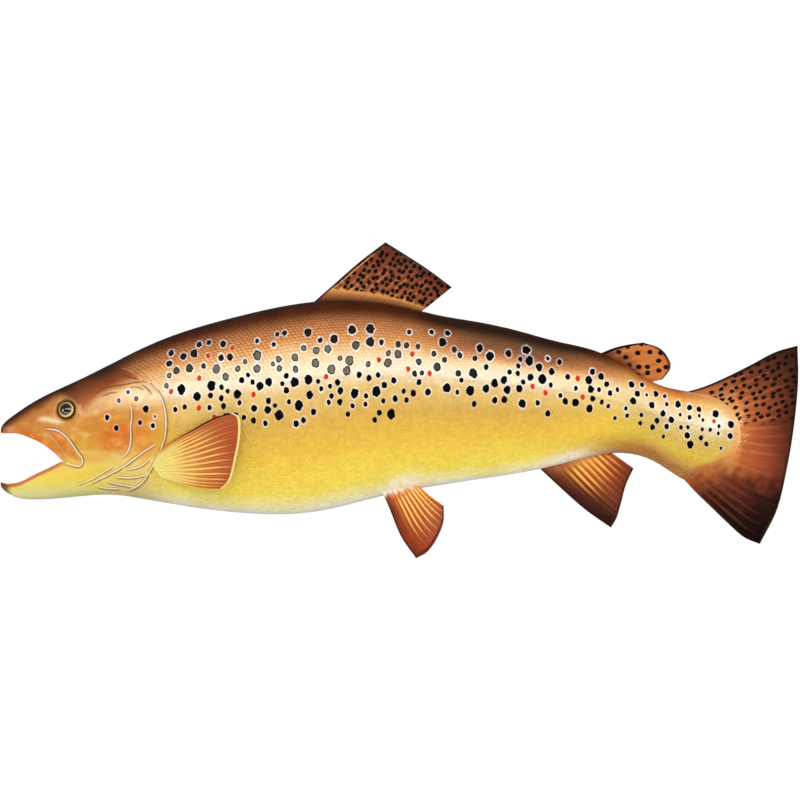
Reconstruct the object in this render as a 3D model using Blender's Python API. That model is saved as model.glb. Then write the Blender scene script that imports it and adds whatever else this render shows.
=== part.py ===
"""A mounted brown trout with its mouth held open, life size, hung by a block let into its far flank.

Metres, +Z up. The head points along -X and the left side faces -Y. The back face of the hanger
block lies in the plane y = 0, centred on the origin, and the fish's middle plane is at MIDDLE_Y.
"""

import math

import bmesh
import bpy
import numpy as np
from mathutils import Vector

MM = 0.001
SNOUT_X = -332.5 * MM  # the tip of the upper jaw
MIDDLE_Y = -60.0 * MM  # the middle plane of the fish
GAP = 0.3 * MM  # left between pieces that meet

# Body stations, in mm: distance behind the snout, then the heights of the back, of the belly and
# of the widest point above the hanger's centre, then half the width.
STATIONS = (
    (0, -45.0, -98.0, -70, 1.0),
    (4, -36.5, -103.5, -68, 5.6),
    (14, -28.5, -109.5, -66, 10.2),
    (39, -12.5, -112.0, -60, 17.8),
    (78, 6.0, -109.0, -52, 27.0),
    (115, 24.5, -108.0, -47, 34.2),
    (156, 44.2, -114.8, -42, 39.5),
    (235, 68.5, -125.5, -34, 44.5),
    (313, 82.5, -123.5, -26, 46.0),
    (391, 77.5, -105.0, -18, 43.5),
    (430, 68.5, -98.5, -16, 40.7),
    (469, 61.8, -92.5, -14, 37.0),
    (508, 53.0, -86.5, -14, 32.8),
    (547, 42.5, -78.0, -14, 28.0),
    (586, 32.2, -68.5, -16, 23.0),
    (616, 16.0, -68.0, -23, 19.0),
    (640, 2.2, -76.0, -33, 15.5),
    (670, -5.5, -94.0, -44, 11.0),
    (726, -10.5, -93.0, -52, 3.2),
)
FULLNESS = 2.2  # 2 is a true ellipse, and more is boxier
RING_POINTS = 26
RINGS = 37
BODY_END = 726.0

# Side outlines, in mm behind the snout and above the hanger's centre.
GAPE = (
    (-12, -46.0), (2, -46.5), (10, -46.0), (20, -47.0), (29, -50.5), (39, -55.0), (49, -61.5),
    (58, -69.0), (62, -73.0), (63, -76.0), (58, -77.0), (49, -81.5), (39, -86.0), (29, -91.0),
    (20, -95.5), (10, -97.5), (2, -95.5), (-12, -96.0),
)  # fmt: skip
MOUTH_HOLLOW = (
    (16, -50.0), (22, -41.0), (40, -45.0), (60, -55.0), (85, -61.0), (104, -66.0), (110, -76.0),
    (104, -88.0), (80, -96.0), (55, -98.0), (34, -101.0), (22, -103.0), (16, -95.0),
)  # fmt: skip
HEAD_REAR = (
    (96, 120.0), (126, 34.0), (134, 12.0), (146, -5.0), (156, -14.0), (162, -29.0), (162.5, -42.0),
    (161, -54.0), (156, -68.0), (150, -79.0), (143, -88.0), (134, -100.0), (126, -150.0),
)  # fmt: skip
JAW_REAR = ((-60, -75.5), (62.5, -75.5), (78, -86.0), (88, -98.0), (92, -150.0))
GILL_COVER = (
    (128, -17.0), (139, -8.5), (150, -12.0), (159, -24.0), (161.5, -36.0), (160.5, -53.0),
    (155, -67.0), (147, -79.0), (133, -89.0), (112, -96.5), (93, -98.0), (94, -92.0),
    (107, -82.0), (119, -72.0), (127, -58.0), (128, -36.0),
)  # fmt: skip
MAXILLA = (
    (36, -39.0), (46, -43.0), (58, -50.0), (69, -59.0), (79, -67.0), (84, -73.0), (81, -79.0),
    (73, -79.0), (66, -75.0), (60, -68.5), (50, -60.0), (38, -51.5),
)  # fmt: skip
STEM_FRONT = ((552, 120.0), (561, 30.0), (563, -15.0), (561, -60.0), (552, -150.0))
FLESH_END = (
    (540, 120.0), (671, 20.0), (671, -6.0), (691, -10.0), (709, -18.5), (719, -33.0), (722.5, -50.0),
    (717, -66.0), (703, -77.5), (686, -85.5), (672, -90.0), (660, -150.0), (540, -150.0),
)  # fmt: skip

EYE_AT = (65.0, -24.0)
EYE_RADIUS = 8.3
EYE_DEPTH = 5.6  # half its thickness
EYE_SUNK = 2.9  # its centre below the skin

BLOCK = (84 * MM, 34 * MM, 54 * MM)  # length, depth and height of the hanger block


# ---------------------------------------------------------------- body surface


def natural_spline(knots, values):
    """A curve through the values, straightening at its two ends."""
    knots, values = np.array(knots, float), np.array(values, float)
    count, step = len(knots), np.diff(knots)
    matrix, right = np.eye(count), np.zeros(count)
    for i in range(1, count - 1):
        matrix[i, i - 1 : i + 2] = step[i - 1], 2 * (step[i - 1] + step[i]), step[i]
        slopes = (values[i + 1] - values[i]) / step[i], (values[i] - values[i - 1]) / step[i - 1]
        right[i] = 6 * (slopes[0] - slopes[1])
    bend = np.linalg.solve(matrix, right)

    def curve(at):
        i = int(np.clip(np.searchsorted(knots, at) - 1, 0, count - 2))
        b = (at - knots[i]) / step[i]
        a = 1 - b
        cubic = (a**3 - a) * bend[i] + (b**3 - b) * bend[i + 1]
        return float(a * values[i] + b * values[i + 1] + cubic * step[i] ** 2 / 6)

    return curve


KNOTS = [math.sqrt(station[0]) for station in STATIONS]
BACK, BELLY, WIDEST, HALF_WIDTH = (
    natural_spline(KNOTS, [station[i] for station in STATIONS]) for i in range(1, 5)
)


def section(along):
    """Back height, belly height, height of the widest point and half width, in mm."""
    u = math.sqrt(max(along, 0.0))
    return BACK(u), BELLY(u), WIDEST(u), HALF_WIDTH(u)


def flank(along, height):
    """Half the body's width at this height, or 0 above the back or below the belly."""
    back, belly, widest, half = section(along)
    reach = (back if height > widest else belly) - widest
    share = min(abs((height - widest) / reach), 1.0)
    return half * (1 - share**FULLNESS) ** (1 / FULLNESS)


def place(along, across, height):
    """A point in metres from mm behind the snout, left (-) or right of the middle, and up."""
    return Vector((SNOUT_X + along * MM, MIDDLE_Y + across * MM, height * MM))


def ring(along, grow):
    back, belly, widest, half = section(along)
    points = []
    for i in range(RING_POINTS):
        turn = 2 * math.pi * i / RING_POINTS
        side, rise = math.sin(turn), math.cos(turn)
        side = math.copysign(abs(side) ** (2 / FULLNESS), side)
        rise = math.copysign(abs(rise) ** (2 / FULLNESS), rise)
        reach = (back + grow - widest) if rise > 0 else (widest - belly + grow)
        points.append(place(along, (half + grow) * side, widest + reach * rise))
    return points


# ---------------------------------------------------------------- solids


def make_object(name, form):
    bmesh.ops.recalc_face_normals(form, faces=form.faces)
    if form.calc_volume(signed=True) < 0:
        bmesh.ops.reverse_faces(form, faces=form.faces)
    mesh = bpy.data.meshes.new(name)
    form.to_mesh(mesh)
    form.free()
    made = bpy.data.objects.new(name, mesh)
    bpy.context.scene.collection.objects.link(made)
    return made


def loft(name, rings):
    form = bmesh.new()
    rows = [[form.verts.new(point) for point in points] for points in rings]
    for near, far in zip(rows, rows[1:]):
        for i, _ in enumerate(near):
            j = (i + 1) % len(near)
            form.faces.new((near[i], near[j], far[j], far[i]))
    form.faces.new(rows[0][::-1])
    form.faces.new(rows[-1])
    return make_object(name, form)


def body_form(name, grow=0.0, start=0.0, end=BODY_END):
    """The whole closed-mouthed body, or a fatter or thinner copy of it."""
    first, last = math.sqrt(start), math.sqrt(end)
    steps = [first + (last - first) * i / RINGS for i in range(RINGS + 1)]
    return loft(name, [ring(u * u, grow) for u in steps])


def slab(name, outline, near=-120.0, far=120.0):
    """A side outline carried straight across the fish."""
    form = bmesh.new()
    rows = [[form.verts.new(place(x, y, z)) for x, z in outline] for y in (near, far)]
    form.faces.new(rows[0])
    form.faces.new(rows[1][::-1])
    for i, _ in enumerate(outline):
        j = (i + 1) % len(outline)
        form.faces.new((rows[0][i], rows[0][j], rows[1][j], rows[1][i]))
    return make_object(name, form)


def swollen(outline, by):
    """The outline moved outwards by a distance; it is closed."""
    points = [Vector(point) for point in outline]
    area = sum(a.x * b.y - b.x * a.y for a, b in zip(points, points[1:] + points[:1]))
    turn = 1 if area > 0 else -1
    moved = []
    for i, point in enumerate(points):
        into = (point - points[i - 1]).normalized()
        out = (points[(i + 1) % len(points)] - point).normalized()
        normal = Vector((into.y + out.y, -into.x - out.x)) * turn
        normal.normalize()
        lean = max(normal.dot(Vector((into.y, -into.x)) * turn), 0.5)
        moved.append(tuple(point + normal * (by / lean)))
    return moved


def before(line):
    """The side outline of everything ahead of a line that runs from top to bottom."""
    return [*line, (-60, line[-1][1]), (-60, line[0][1])]


def behind(line, shift):
    return [(x + shift, z) for x, z in line] + [(900, line[-1][1]), (900, line[0][1])]


def combine(target, tool, operation):
    modifier = target.modifiers.new(operation.title(), "BOOLEAN")
    modifier.operation, modifier.solver, modifier.object = operation, "EXACT", tool
    with bpy.context.temp_override(object=target, active_object=target):
        bpy.ops.object.modifier_apply(modifier=modifier.name)


def discard(*objects):
    for each in objects:
        bpy.data.objects.remove(each, do_unlink=True)


def keep(target, tool):
    combine(target, tool, "INTERSECT")
    discard(tool)


def cut(target, tool):
    combine(target, tool, "DIFFERENCE")
    discard(tool)


def mirrored(piece, name):
    """The same piece on the right side of the fish."""
    form = bmesh.new()
    form.from_mesh(piece.data)
    for vertex in form.verts:
        vertex.co.y = 2 * MIDDLE_Y - vertex.co.y
    bmesh.ops.reverse_faces(form, faces=form.faces)
    return make_object(name, form)


def finish(piece, material, origin, smooth=True):
    """Cleans the mesh, sets the origin (mm, as for place) and the material."""
    form = bmesh.new()
    form.from_mesh(piece.data)
    bmesh.ops.remove_doubles(form, verts=form.verts, dist=0.02 * MM)
    bmesh.ops.dissolve_degenerate(form, edges=form.edges, dist=0.01 * MM)
    bmesh.ops.triangulate(form, faces=form.faces)
    form.to_mesh(piece.data)
    form.free()
    centre = place(*origin)
    piece.data.transform(piece.matrix_world)
    for vertex in piece.data.vertices:
        vertex.co -= centre
    piece.location = centre
    for face in piece.data.polygons:
        face.use_smooth = smooth
    piece.data.materials.clear()
    piece.data.materials.append(material)
    return piece


# ---------------------------------------------------------------- fins


def along_curve(points, share):
    """A point on a smooth curve through evenly shared points."""
    points = [Vector(point) for point in points]
    spot = share * (len(points) - 1)
    i = min(int(spot), len(points) - 2)
    t = spot - i
    a, b = points[i], points[i + 1]
    before_a = points[i - 1] if i else a * 2 - b
    after_b = points[i + 2] if i + 2 < len(points) else b * 2 - a
    return (
        a * 2 + (b - before_a) * t + (before_a * 2 - a * 5 + b * 4 - after_b) * t**2
        + (a * 3 - before_a - b * 3 + after_b) * t**3
    ) / 2  # fmt: skip


def fin(name, root, margin, front, rear, rays, rows, thick, across):
    """A fin filled in between its root, its margin and its two edges.

    The edges list only the points between root and margin. thick is the half thickness at root
    and margin. across gives the mid surface's distance from the middle plane, from the share
    across the rays, the share along them and the side position.
    """
    front = [root[0], *front, margin[0]]
    rear = [root[-1], *rear, margin[-1]]
    corners = [Vector(point) for point in (root[0], root[-1], margin[0], margin[-1])]

    def spot_at(share, out):
        edges = along_curve(front, out).lerp(along_curve(rear, out), share)
        ends = along_curve(root, share).lerp(along_curve(margin, share), out)
        flat = corners[0].lerp(corners[1], share).lerp(corners[2].lerp(corners[3], share), out)
        return edges + ends - flat

    columns = 2 * rays - 1
    form = bmesh.new()
    sides = []
    for side in (-1, 1):
        grid = []
        for c in range(columns):
            share = c / (columns - 1)
            ridge = 1.0 if c % 2 == 0 else 0.68
            line = []
            for r in range(rows + 1):
                out = r / rows
                spot = spot_at(share, out)
                half = max((thick[0] + (thick[1] - thick[0]) * out**0.7) * ridge, 0.3)
                middle = across(share, out, spot)
                line.append(form.verts.new(place(spot.x, middle + side * half, spot.y)))
            grid.append(line)
        sides.append(grid)
    left, right = sides
    for grid in sides:
        for c in range(columns - 1):
            for r in range(rows):
                form.faces.new((grid[c][r], grid[c + 1][r], grid[c + 1][r + 1], grid[c][r + 1]))
    for c in range(columns - 1):
        form.faces.new((left[c][0], left[c + 1][0], right[c + 1][0], right[c][0]))
        form.faces.new((left[c][rows], left[c + 1][rows], right[c + 1][rows], right[c][rows]))
    for r in range(rows):
        form.faces.new((left[0][r], left[0][r + 1], right[0][r + 1], right[0][r]))
        form.faces.new((left[-1][r], left[-1][r + 1], right[-1][r + 1], right[-1][r]))
    return make_object(name, form)


def middle_fin_bend(amount):
    def across(share, out, spot):
        return amount * out * math.sin(math.pi * (share * 1.6 + 0.2))

    return across


def paired_fin_splay(side, start, spread, top):
    def across(share, out, spot):
        return side * (start + spread * max(top - spot.y, 0.0) + 1.5 * out * math.sin(5 * share))

    return across


def breast_fin_lift(side):
    """Lies back along the flank, rising towards its margin and its lower edge."""

    def across(share, out, spot):
        height = min(max(spot.y, -98.0), 40.0)
        lift = -2.5 + 13.0 * out**0.9 + 7.0 * share * out
        return side * (flank(spot.x, height) + lift)

    return across


# ---------------------------------------------------------------- materials


def material(name, colour, roughness, metallic=0.0):
    made = bpy.data.materials.new(name)
    made.use_nodes = True
    shader = made.node_tree.nodes["Principled BSDF"]
    shader.inputs["Base Color"].default_value = (*colour, 1.0)
    shader.inputs["Roughness"].default_value = roughness
    shader.inputs["Metallic"].default_value = metallic
    made.diffuse_color = (*colour, 1.0)
    return made


for old in list(bpy.context.scene.objects):
    bpy.data.objects.remove(old, do_unlink=True)

HEAD_PAINT = material("head_paint", (0.42, 0.15, 0.035), 0.2)
JAW_PAINT = material("jaw_paint", (0.72, 0.42, 0.08), 0.2)
FLANK_PAINT = material("flank_paint", (0.62, 0.42, 0.10), 0.2)
FIN_PAINT = material("fin_paint", (0.36, 0.11, 0.03), 0.25)
MOUTH_PAINT = material("mouth_paint", (0.70, 0.38, 0.20), 0.3)
EYE_GLASS = material("eye_glass", (0.03, 0.02, 0.012), 0.05)
BLOCK_WOOD = material("block_wood", (0.45, 0.29, 0.15), 0.6)


# ---------------------------------------------------------------- head, jaw, trunk and stem

whole = body_form("whole")
inner = body_form("inner", grow=-5.0, start=15.0, end=300.0)
cut(whole, slab("gape", GAPE))

hollow = slab("hollow", MOUTH_HOLLOW)
combine(hollow, inner, "INTERSECT")
cut(whole, hollow)
discard(inner)


def share_of_body(name, *outlines):
    piece = whole.copy()
    piece.data = whole.data.copy()
    piece.name = piece.data.name = name
    bpy.context.scene.collection.objects.link(piece)
    for outline in outlines:
        keep(piece, slab("region", outline))
    return piece


above_jaw = [(x + 0.4, z + 0.2) for x, z in reversed(JAW_REAR)]
head = share_of_body("head", [*HEAD_REAR, *above_jaw, (-60, 120)])
lower_jaw = share_of_body("lower_jaw", [*JAW_REAR, (-60, -150)])
trunk = share_of_body("trunk", behind(HEAD_REAR, 0.4), before(STEM_FRONT))
tail_stem = share_of_body("tail_stem", behind(STEM_FRONT, 0.4), FLESH_END)
discard(whole)


# ---------------------------------------------------------------- plates of the head


def plate(name, outline, side, raised, depth):
    """A plate standing a little proud of the cheek, and the pocket that it sits in."""
    near, far = (-120.0, -2.0) if side < 0 else (2.0, 120.0)
    piece = slab(name, outline, near, far)
    keep(piece, body_form("skin", grow=raised))
    cut(piece, body_form("bed", grow=-depth, start=10.0, end=400.0))
    pocket = slab("pocket", swollen(outline, 0.35), near, far)
    cut(pocket, body_form("floor", grow=-depth - 0.3, start=10.0, end=400.0))
    return piece, pocket


plates = {}
for kind, outline, raised, depth in (
    ("gill_cover", GILL_COVER, 1.0, 3.2),
    ("maxilla", MAXILLA, 0.9, 2.2),
):
    for side, hand in ((-1, "left"), (1, "right")):
        piece, pocket = plate(f"{kind}_{hand}", outline, side, raised, depth)
        combine(head, pocket, "DIFFERENCE")
        combine(lower_jaw, pocket, "DIFFERENCE")
        discard(pocket)
        plates[piece.name] = piece


# ---------------------------------------------------------------- eyes


def eye_frame(side):
    """Where the eye sits on the skin, and the way that it looks."""
    x, z = EYE_AT
    at = Vector((x, side * flank(x, z), z))
    ahead = Vector((x + 1, side * flank(x + 1, z), z)) - at
    above = Vector((x, side * flank(x, z + 1), z + 1)) - at
    normal = ahead.cross(above).normalized()
    return at, normal if normal.y * side > 0 else -normal


def eyeball(name, side, grow=0.0):
    at, normal = eye_frame(side)
    form = bmesh.new()
    bmesh.ops.create_uvsphere(form, u_segments=16, v_segments=9, radius=1.0)
    turn = normal.to_track_quat("Z", "Y")
    for vertex in form.verts:
        wide, deep = EYE_RADIUS + grow, EYE_DEPTH + grow
        ball = Vector((vertex.co.x * wide, vertex.co.y * wide, vertex.co.z * deep))
        spot = at - normal * EYE_SUNK + turn @ ball
        vertex.co = place(*spot)
    return make_object(name, form)


eyes = {}
for side, hand in ((-1, "left"), (1, "right")):
    cut(head, eyeball("socket", side, grow=0.3))
    eyes[f"eye_{hand}"] = eyeball(f"eye_{hand}", side)


# ---------------------------------------------------------------- tongue

TONGUE_LENGTH = (26.0, 76.0)
tongue_rings = []
for i in range(9):
    t = i / 8
    x = TONGUE_LENGTH[0] + (TONGUE_LENGTH[1] - TONGUE_LENGTH[0]) * t
    half = 2.2 + 5.0 * math.sqrt(t)
    rise = 1.4 + 2.6 * t
    middle = -98.8 + 8.0 * t
    tongue_rings.append(
        [
            place(x, half * math.sin(a), middle + rise * math.cos(a))
            for a in (2 * math.pi * k / 12 for k in range(12))
        ]
    )
tongue = loft("tongue", tongue_rings)


# ---------------------------------------------------------------- fins


def seated(piece):
    """Trims a fin's root to the flesh."""
    cut(piece, body_form("seat", grow=0.3))
    return piece


dorsal_fin = seated(
    fin(
        "dorsal_fin",
        root=[(298, 74), (336, 74), (372, 72), (404, 66)],
        margin=[(376, 139.5), (397, 126.5), (419, 112), (441, 95.5)],
        front=[(323, 96), (351, 120.5)],
        rear=[(423, 81)],
        rays=11, rows=5, thick=(1.9, 0.7), across=middle_fin_bend(1.2),
    )
)  # fmt: skip
adipose_fin = seated(
    fin(
        "adipose_fin",
        root=[(584, 30), (600, 20), (612, 9), (622, -1)],
        margin=[(628, 41.5), (644, 36), (653, 25.5), (654.5, 16), (647, 5.5)],
        front=[(600, 36.3), (614, 39.6)],
        rear=[(635, 2.5)],
        rays=5, rows=5, thick=(2.4, 1.1), across=middle_fin_bend(0.5),
    )
)  # fmt: skip
anal_fin = seated(
    fin(
        "anal_fin",
        root=[(520, -75), (544, -68), (566, -62), (584, -57)],
        margin=[(596.5, -139.5), (602, -130), (606.5, -115), (611, -98), (618.5, -81.5)],
        front=[(545, -98.5), (571, -121.5)],
        rear=[(602, -69.5)],
        rays=9, rows=5, thick=(2.1, 0.7), across=middle_fin_bend(1.0),
    )
)  # fmt: skip
pelvic_fin = seated(
    fin(
        "pelvic_fin_left",
        root=[(368, -94), (379, -92), (390, -90), (399, -88)],
        margin=[(406, -169), (417, -162.5), (426, -150), (432.5, -134), (433, -118.5)],
        front=[(379, -118), (391, -147)],
        rear=[(416, -105)],
        rays=7, rows=6, thick=(2.1, 0.7), across=paired_fin_splay(-1, 11.0, 0.12, -92.0),
    )
)  # fmt: skip
breast_fin = seated(
    fin(
        "pectoral_fin_left",
        root=[(146, -70), (149, -77), (153, -84), (158, -91)],
        margin=[(228, -27), (235, -32), (235.5, -50), (231.5, -72), (226, -92), (217, -101)],
        front=[(167, -56), (188, -44), (210, -32)],
        rear=[(178, -96.5), (198, -100.5)],
        rays=9, rows=7, thick=(1.9, 0.7), across=breast_fin_lift(-1),
    )
)  # fmt: skip
cover_room = slab("cover_room", swollen(GILL_COVER, 0.35))
keep(cover_room, body_form("skin", grow=1.4))
cut(breast_fin, cover_room)
paired_fins = {
    "pelvic_fin_left": pelvic_fin,
    "pelvic_fin_right": mirrored(pelvic_fin, "pelvic_fin_right"),
    "pectoral_fin_left": breast_fin,
    "pectoral_fin_right": mirrored(breast_fin, "pectoral_fin_right"),
}

tail_fin = fin(
    "tail_fin",
    root=[(666, -8), (686, -26), (692, -49), (685, -72), (664, -88)],
    margin=[(779, 38.5), (779.5, 2), (775.5, -40), (769, -79), (759, -121), (742, -155.5)],
    front=[(688, -1.5), (711, 8.5), (734, 20), (757, 32)],
    rear=[(679, -104.5), (694, -119), (710, -134.5), (726, -148.5)],
    rays=14, rows=6, thick=(2.6, 0.9), across=middle_fin_bend(1.5),
)  # fmt: skip
stem_seat = body_form("seat", grow=0.3)
keep(stem_seat, slab("end", swollen(FLESH_END, 0.35)))
cut(tail_fin, stem_seat)


# ---------------------------------------------------------------- hanger block


def block(name, grow=0.0):
    form = bmesh.new()
    bmesh.ops.create_cube(form, size=1.0)
    for vertex in form.verts:
        vertex.co.x *= BLOCK[0] + 2 * grow
        vertex.co.y = -BLOCK[1] - grow if vertex.co.y < 0 else grow
        vertex.co.z *= BLOCK[2] + 2 * grow
    if not grow:
        back = [edge for edge in form.edges if all(v.co.y > -0.001 for v in edge.verts)]
        bmesh.ops.bevel(form, geom=back, offset=1.5 * MM, segments=1, affect="EDGES")
    return make_object(name, form)


hanger_block = block("hanger_block")
cut(trunk, block("pocket", GAP))


# ---------------------------------------------------------------- finishing

MID_HEAD = (80.0, 0.0, -40.0)
finish(head, HEAD_PAINT, MID_HEAD)
finish(lower_jaw, JAW_PAINT, (63.0, 0.0, -80.0))
finish(trunk, FLANK_PAINT, (330.0, 0.0, -20.0))
finish(tail_stem, FLANK_PAINT, (640.0, 0.0, -35.0))
finish(tongue, MOUTH_PAINT, (84.0, 0.0, -95.0))
for name, piece in plates.items():
    side = -1 if name.endswith("left") else 1
    at = (130.0, side * 34.0, -45.0) if name.startswith("gill") else (40.0, side * 16.0, -45.0)
    finish(piece, HEAD_PAINT, at)
for name, piece in eyes.items():
    side = -1 if name.endswith("left") else 1
    finish(piece, EYE_GLASS, (EYE_AT[0], side * (flank(*EYE_AT) - EYE_SUNK), EYE_AT[1]))
finish(dorsal_fin, FIN_PAINT, (362.0, 0.0, 80.0))
finish(adipose_fin, FIN_PAINT, (612.0, 0.0, 20.0))
finish(anal_fin, FIN_PAINT, (562.0, 0.0, -74.0))
finish(tail_fin, FIN_PAINT, (716.0, 0.0, -48.0))
for name, piece in paired_fins.items():
    side = -1 if name.endswith("left") else 1
    at = (393.0, side * 12.0, -104.0) if name.startswith("pelvic") else (152.0, side * 36.0, -82.0)
    finish(piece, FIN_PAINT, at)
finish(hanger_block, BLOCK_WOOD, (332.5, 60.0, 0.0), smooth=False)
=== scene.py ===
"""The looks of the mounted brown trout: skin, scales, fins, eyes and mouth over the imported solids."""

import math

import bpy
import numpy as np
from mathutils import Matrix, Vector


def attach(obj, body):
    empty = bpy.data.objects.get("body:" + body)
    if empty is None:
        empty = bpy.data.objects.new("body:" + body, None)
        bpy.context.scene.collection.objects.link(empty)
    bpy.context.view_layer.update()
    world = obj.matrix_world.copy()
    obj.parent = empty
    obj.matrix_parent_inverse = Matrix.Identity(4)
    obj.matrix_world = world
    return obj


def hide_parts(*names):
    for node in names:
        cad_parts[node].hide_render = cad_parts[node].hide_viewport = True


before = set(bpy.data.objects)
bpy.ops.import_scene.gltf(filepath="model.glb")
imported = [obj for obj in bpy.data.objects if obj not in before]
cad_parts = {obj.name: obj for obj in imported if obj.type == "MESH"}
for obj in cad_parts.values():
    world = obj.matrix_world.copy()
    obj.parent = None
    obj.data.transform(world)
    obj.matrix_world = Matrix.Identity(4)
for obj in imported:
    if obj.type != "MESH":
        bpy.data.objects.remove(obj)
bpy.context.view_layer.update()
bpy.ops.object.select_all(action="DESELECT")

MM = 0.001
SNOUT_X = -332.5  # the tip of the snout in the frame, in mm
MIDDLE_Y = -60.0  # the plane that halves the fish
LENGTH = 780.0
dice = np.random.default_rng(7)

# ---------------------------------------------------------------- camera, light, floor

SENSOR = 36.0
CAMERA_DISTANCE = 6.0
SEEN_WIDTH = 0.782  # at the middle plane of the fish, in metres
SEEN_CENTRE = (0.0578, -0.0147)
PLANE = MIDDLE_Y * MM

view = bpy.data.cameras.new("view")
view.sensor_width = SENSOR
view.lens = SENSOR * (CAMERA_DISTANCE + PLANE) / SEEN_WIDTH
view.clip_end = 40.0
camera = bpy.data.objects.new("camera", view)
camera.location = (SEEN_CENTRE[0], -CAMERA_DISTANCE, SEEN_CENTRE[1])
camera.rotation_euler = (math.radians(90), 0, 0)
bpy.context.scene.collection.objects.link(camera)
bpy.context.scene.camera = camera
bpy.context.scene.view_settings.view_transform = "Standard"


def softbox(name, place, aim, size, watts):
    """A white panel that lights the fish and is not seen itself."""
    light = bpy.data.lights.new(name, "AREA")
    light.shape, light.size, light.size_y = "RECTANGLE", size[0], size[1]
    light.energy = watts
    lamp = bpy.data.objects.new(name, light)
    lamp.location = place
    lamp.rotation_euler = (Vector(aim) - Vector(place)).to_track_quat("-Z", "Y").to_euler()
    lamp.visible_camera = False
    bpy.context.scene.collection.objects.link(lamp)


softbox("high_softbox", (0.0, -1.55, 0.72), (0.0, PLANE, 0.0), (2.4, 0.60), 23)
softbox("head_side", (-2.1, -0.9, 0.1), (-0.1, PLANE, 0.0), (1.0, 1.3), 17)
softbox("tail_side", (2.2, -0.9, 0.1), (0.1, PLANE, 0.0), (1.0, 1.3), 18)
softbox("low_fill", (0.0, -0.95, -0.5), (0.0, PLANE, -0.05), (2.4, 0.4), 6)
softbox("right_side", (0.0, 2.0, 0.0), (0.0, PLANE, 0.0), (2.4, 0.9), 22)

bpy.ops.mesh.primitive_plane_add(size=3.2, location=(0.0, -0.4, -0.62))
floor = bpy.context.object
floor.name = "floor"
bpy.ops.object.select_all(action="DESELECT")


def lay_world():
    """White where it is seen, and a dimmer studio, brighter overhead, as light."""
    world = bpy.data.worlds.new("studio")
    bpy.context.scene.world = world
    world.use_nodes = True
    tree = world.node_tree
    seen, shine = tree.nodes["Background"], tree.nodes.new("ShaderNodeBackground")
    seen.inputs["Color"].default_value = (1, 1, 1, 1)
    seen.inputs["Strength"].default_value = 1.0
    way, split = tree.nodes.new("ShaderNodeTexCoord"), tree.nodes.new("ShaderNodeSeparateXYZ")
    dim = tree.nodes.new("ShaderNodeMapRange")
    low_sky, high_sky, low_light, high_light = 0.2, 0.85, 0.08, 0.25
    for key, value in enumerate((low_sky, high_sky, low_light, high_light), start=1):
        dim.inputs[key].default_value = value
    path, mix = tree.nodes.new("ShaderNodeLightPath"), tree.nodes.new("ShaderNodeMixShader")
    for start, end in (
        (way.outputs["Generated"], split.inputs[0]), (split.outputs["Z"], dim.inputs[0]),
        (dim.outputs[0], shine.inputs["Strength"]), (path.outputs["Is Camera Ray"], mix.inputs[0]),
        (shine.outputs[0], mix.inputs[1]), (seen.outputs[0], mix.inputs[2]),
        (mix.outputs[0], tree.nodes["World Output"].inputs["Surface"]),
    ):  # fmt: skip
        tree.links.new(start, end)


lay_world()

# ---------------------------------------------------------------- shader sums


class Wire:
    """A socket that takes part in sums; a sum of wires adds its Math nodes."""

    def __init__(self, paint, socket):
        self.paint, self.socket = paint, socket

    def sum(self, operation, *values):
        return self.paint.node("ShaderNodeMath", {"operation": operation}, dict(enumerate(values)))

    def __add__(self, other):
        return self.sum("ADD", self, other)

    def __sub__(self, other):
        return self.sum("SUBTRACT", self, other)

    def __rsub__(self, other):
        return self.sum("SUBTRACT", other, self)

    def __mul__(self, other):
        return self.sum("MULTIPLY", self, other)

    def __truediv__(self, other):
        return self.sum("DIVIDE", self, other)

    __radd__, __rmul__ = __add__, __mul__

    def size(self):
        return self.sum("ABSOLUTE", self)

    def most(self, other):
        return self.sum("MAXIMUM", self, other)

    def wave(self):
        return self.sum("SINE", self)

    def fraction(self):
        return self.sum("FRACT", self)

    def fade(self, low, high):
        """0 below low, 1 above high and smooth between."""
        values = {0: self, 1: low, 2: high, 3: 0.0, 4: 1.0}
        return self.paint.node("ShaderNodeMapRange", {"interpolation_type": "SMOOTHSTEP"}, values)

    def stops(self, *stops):
        """A ramp of colours, each given as (place, red, green, blue) in screen values."""
        return self.paint.node("ShaderNodeValToRGB", {"stops": stops}, {0: self})


def linear(colour):
    """Screen values of 0 to 255 as the shader's own, linear ones."""
    shares = (value / 255 for value in colour)
    return tuple(c / 12.92 if c <= 0.04045 else ((c + 0.055) / 1.055) ** 2.4 for c in shares)


PAINT_SPECULAR = 0.03  # low, so that bare black paint stays black
VARNISH_IOR = 1.33


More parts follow.
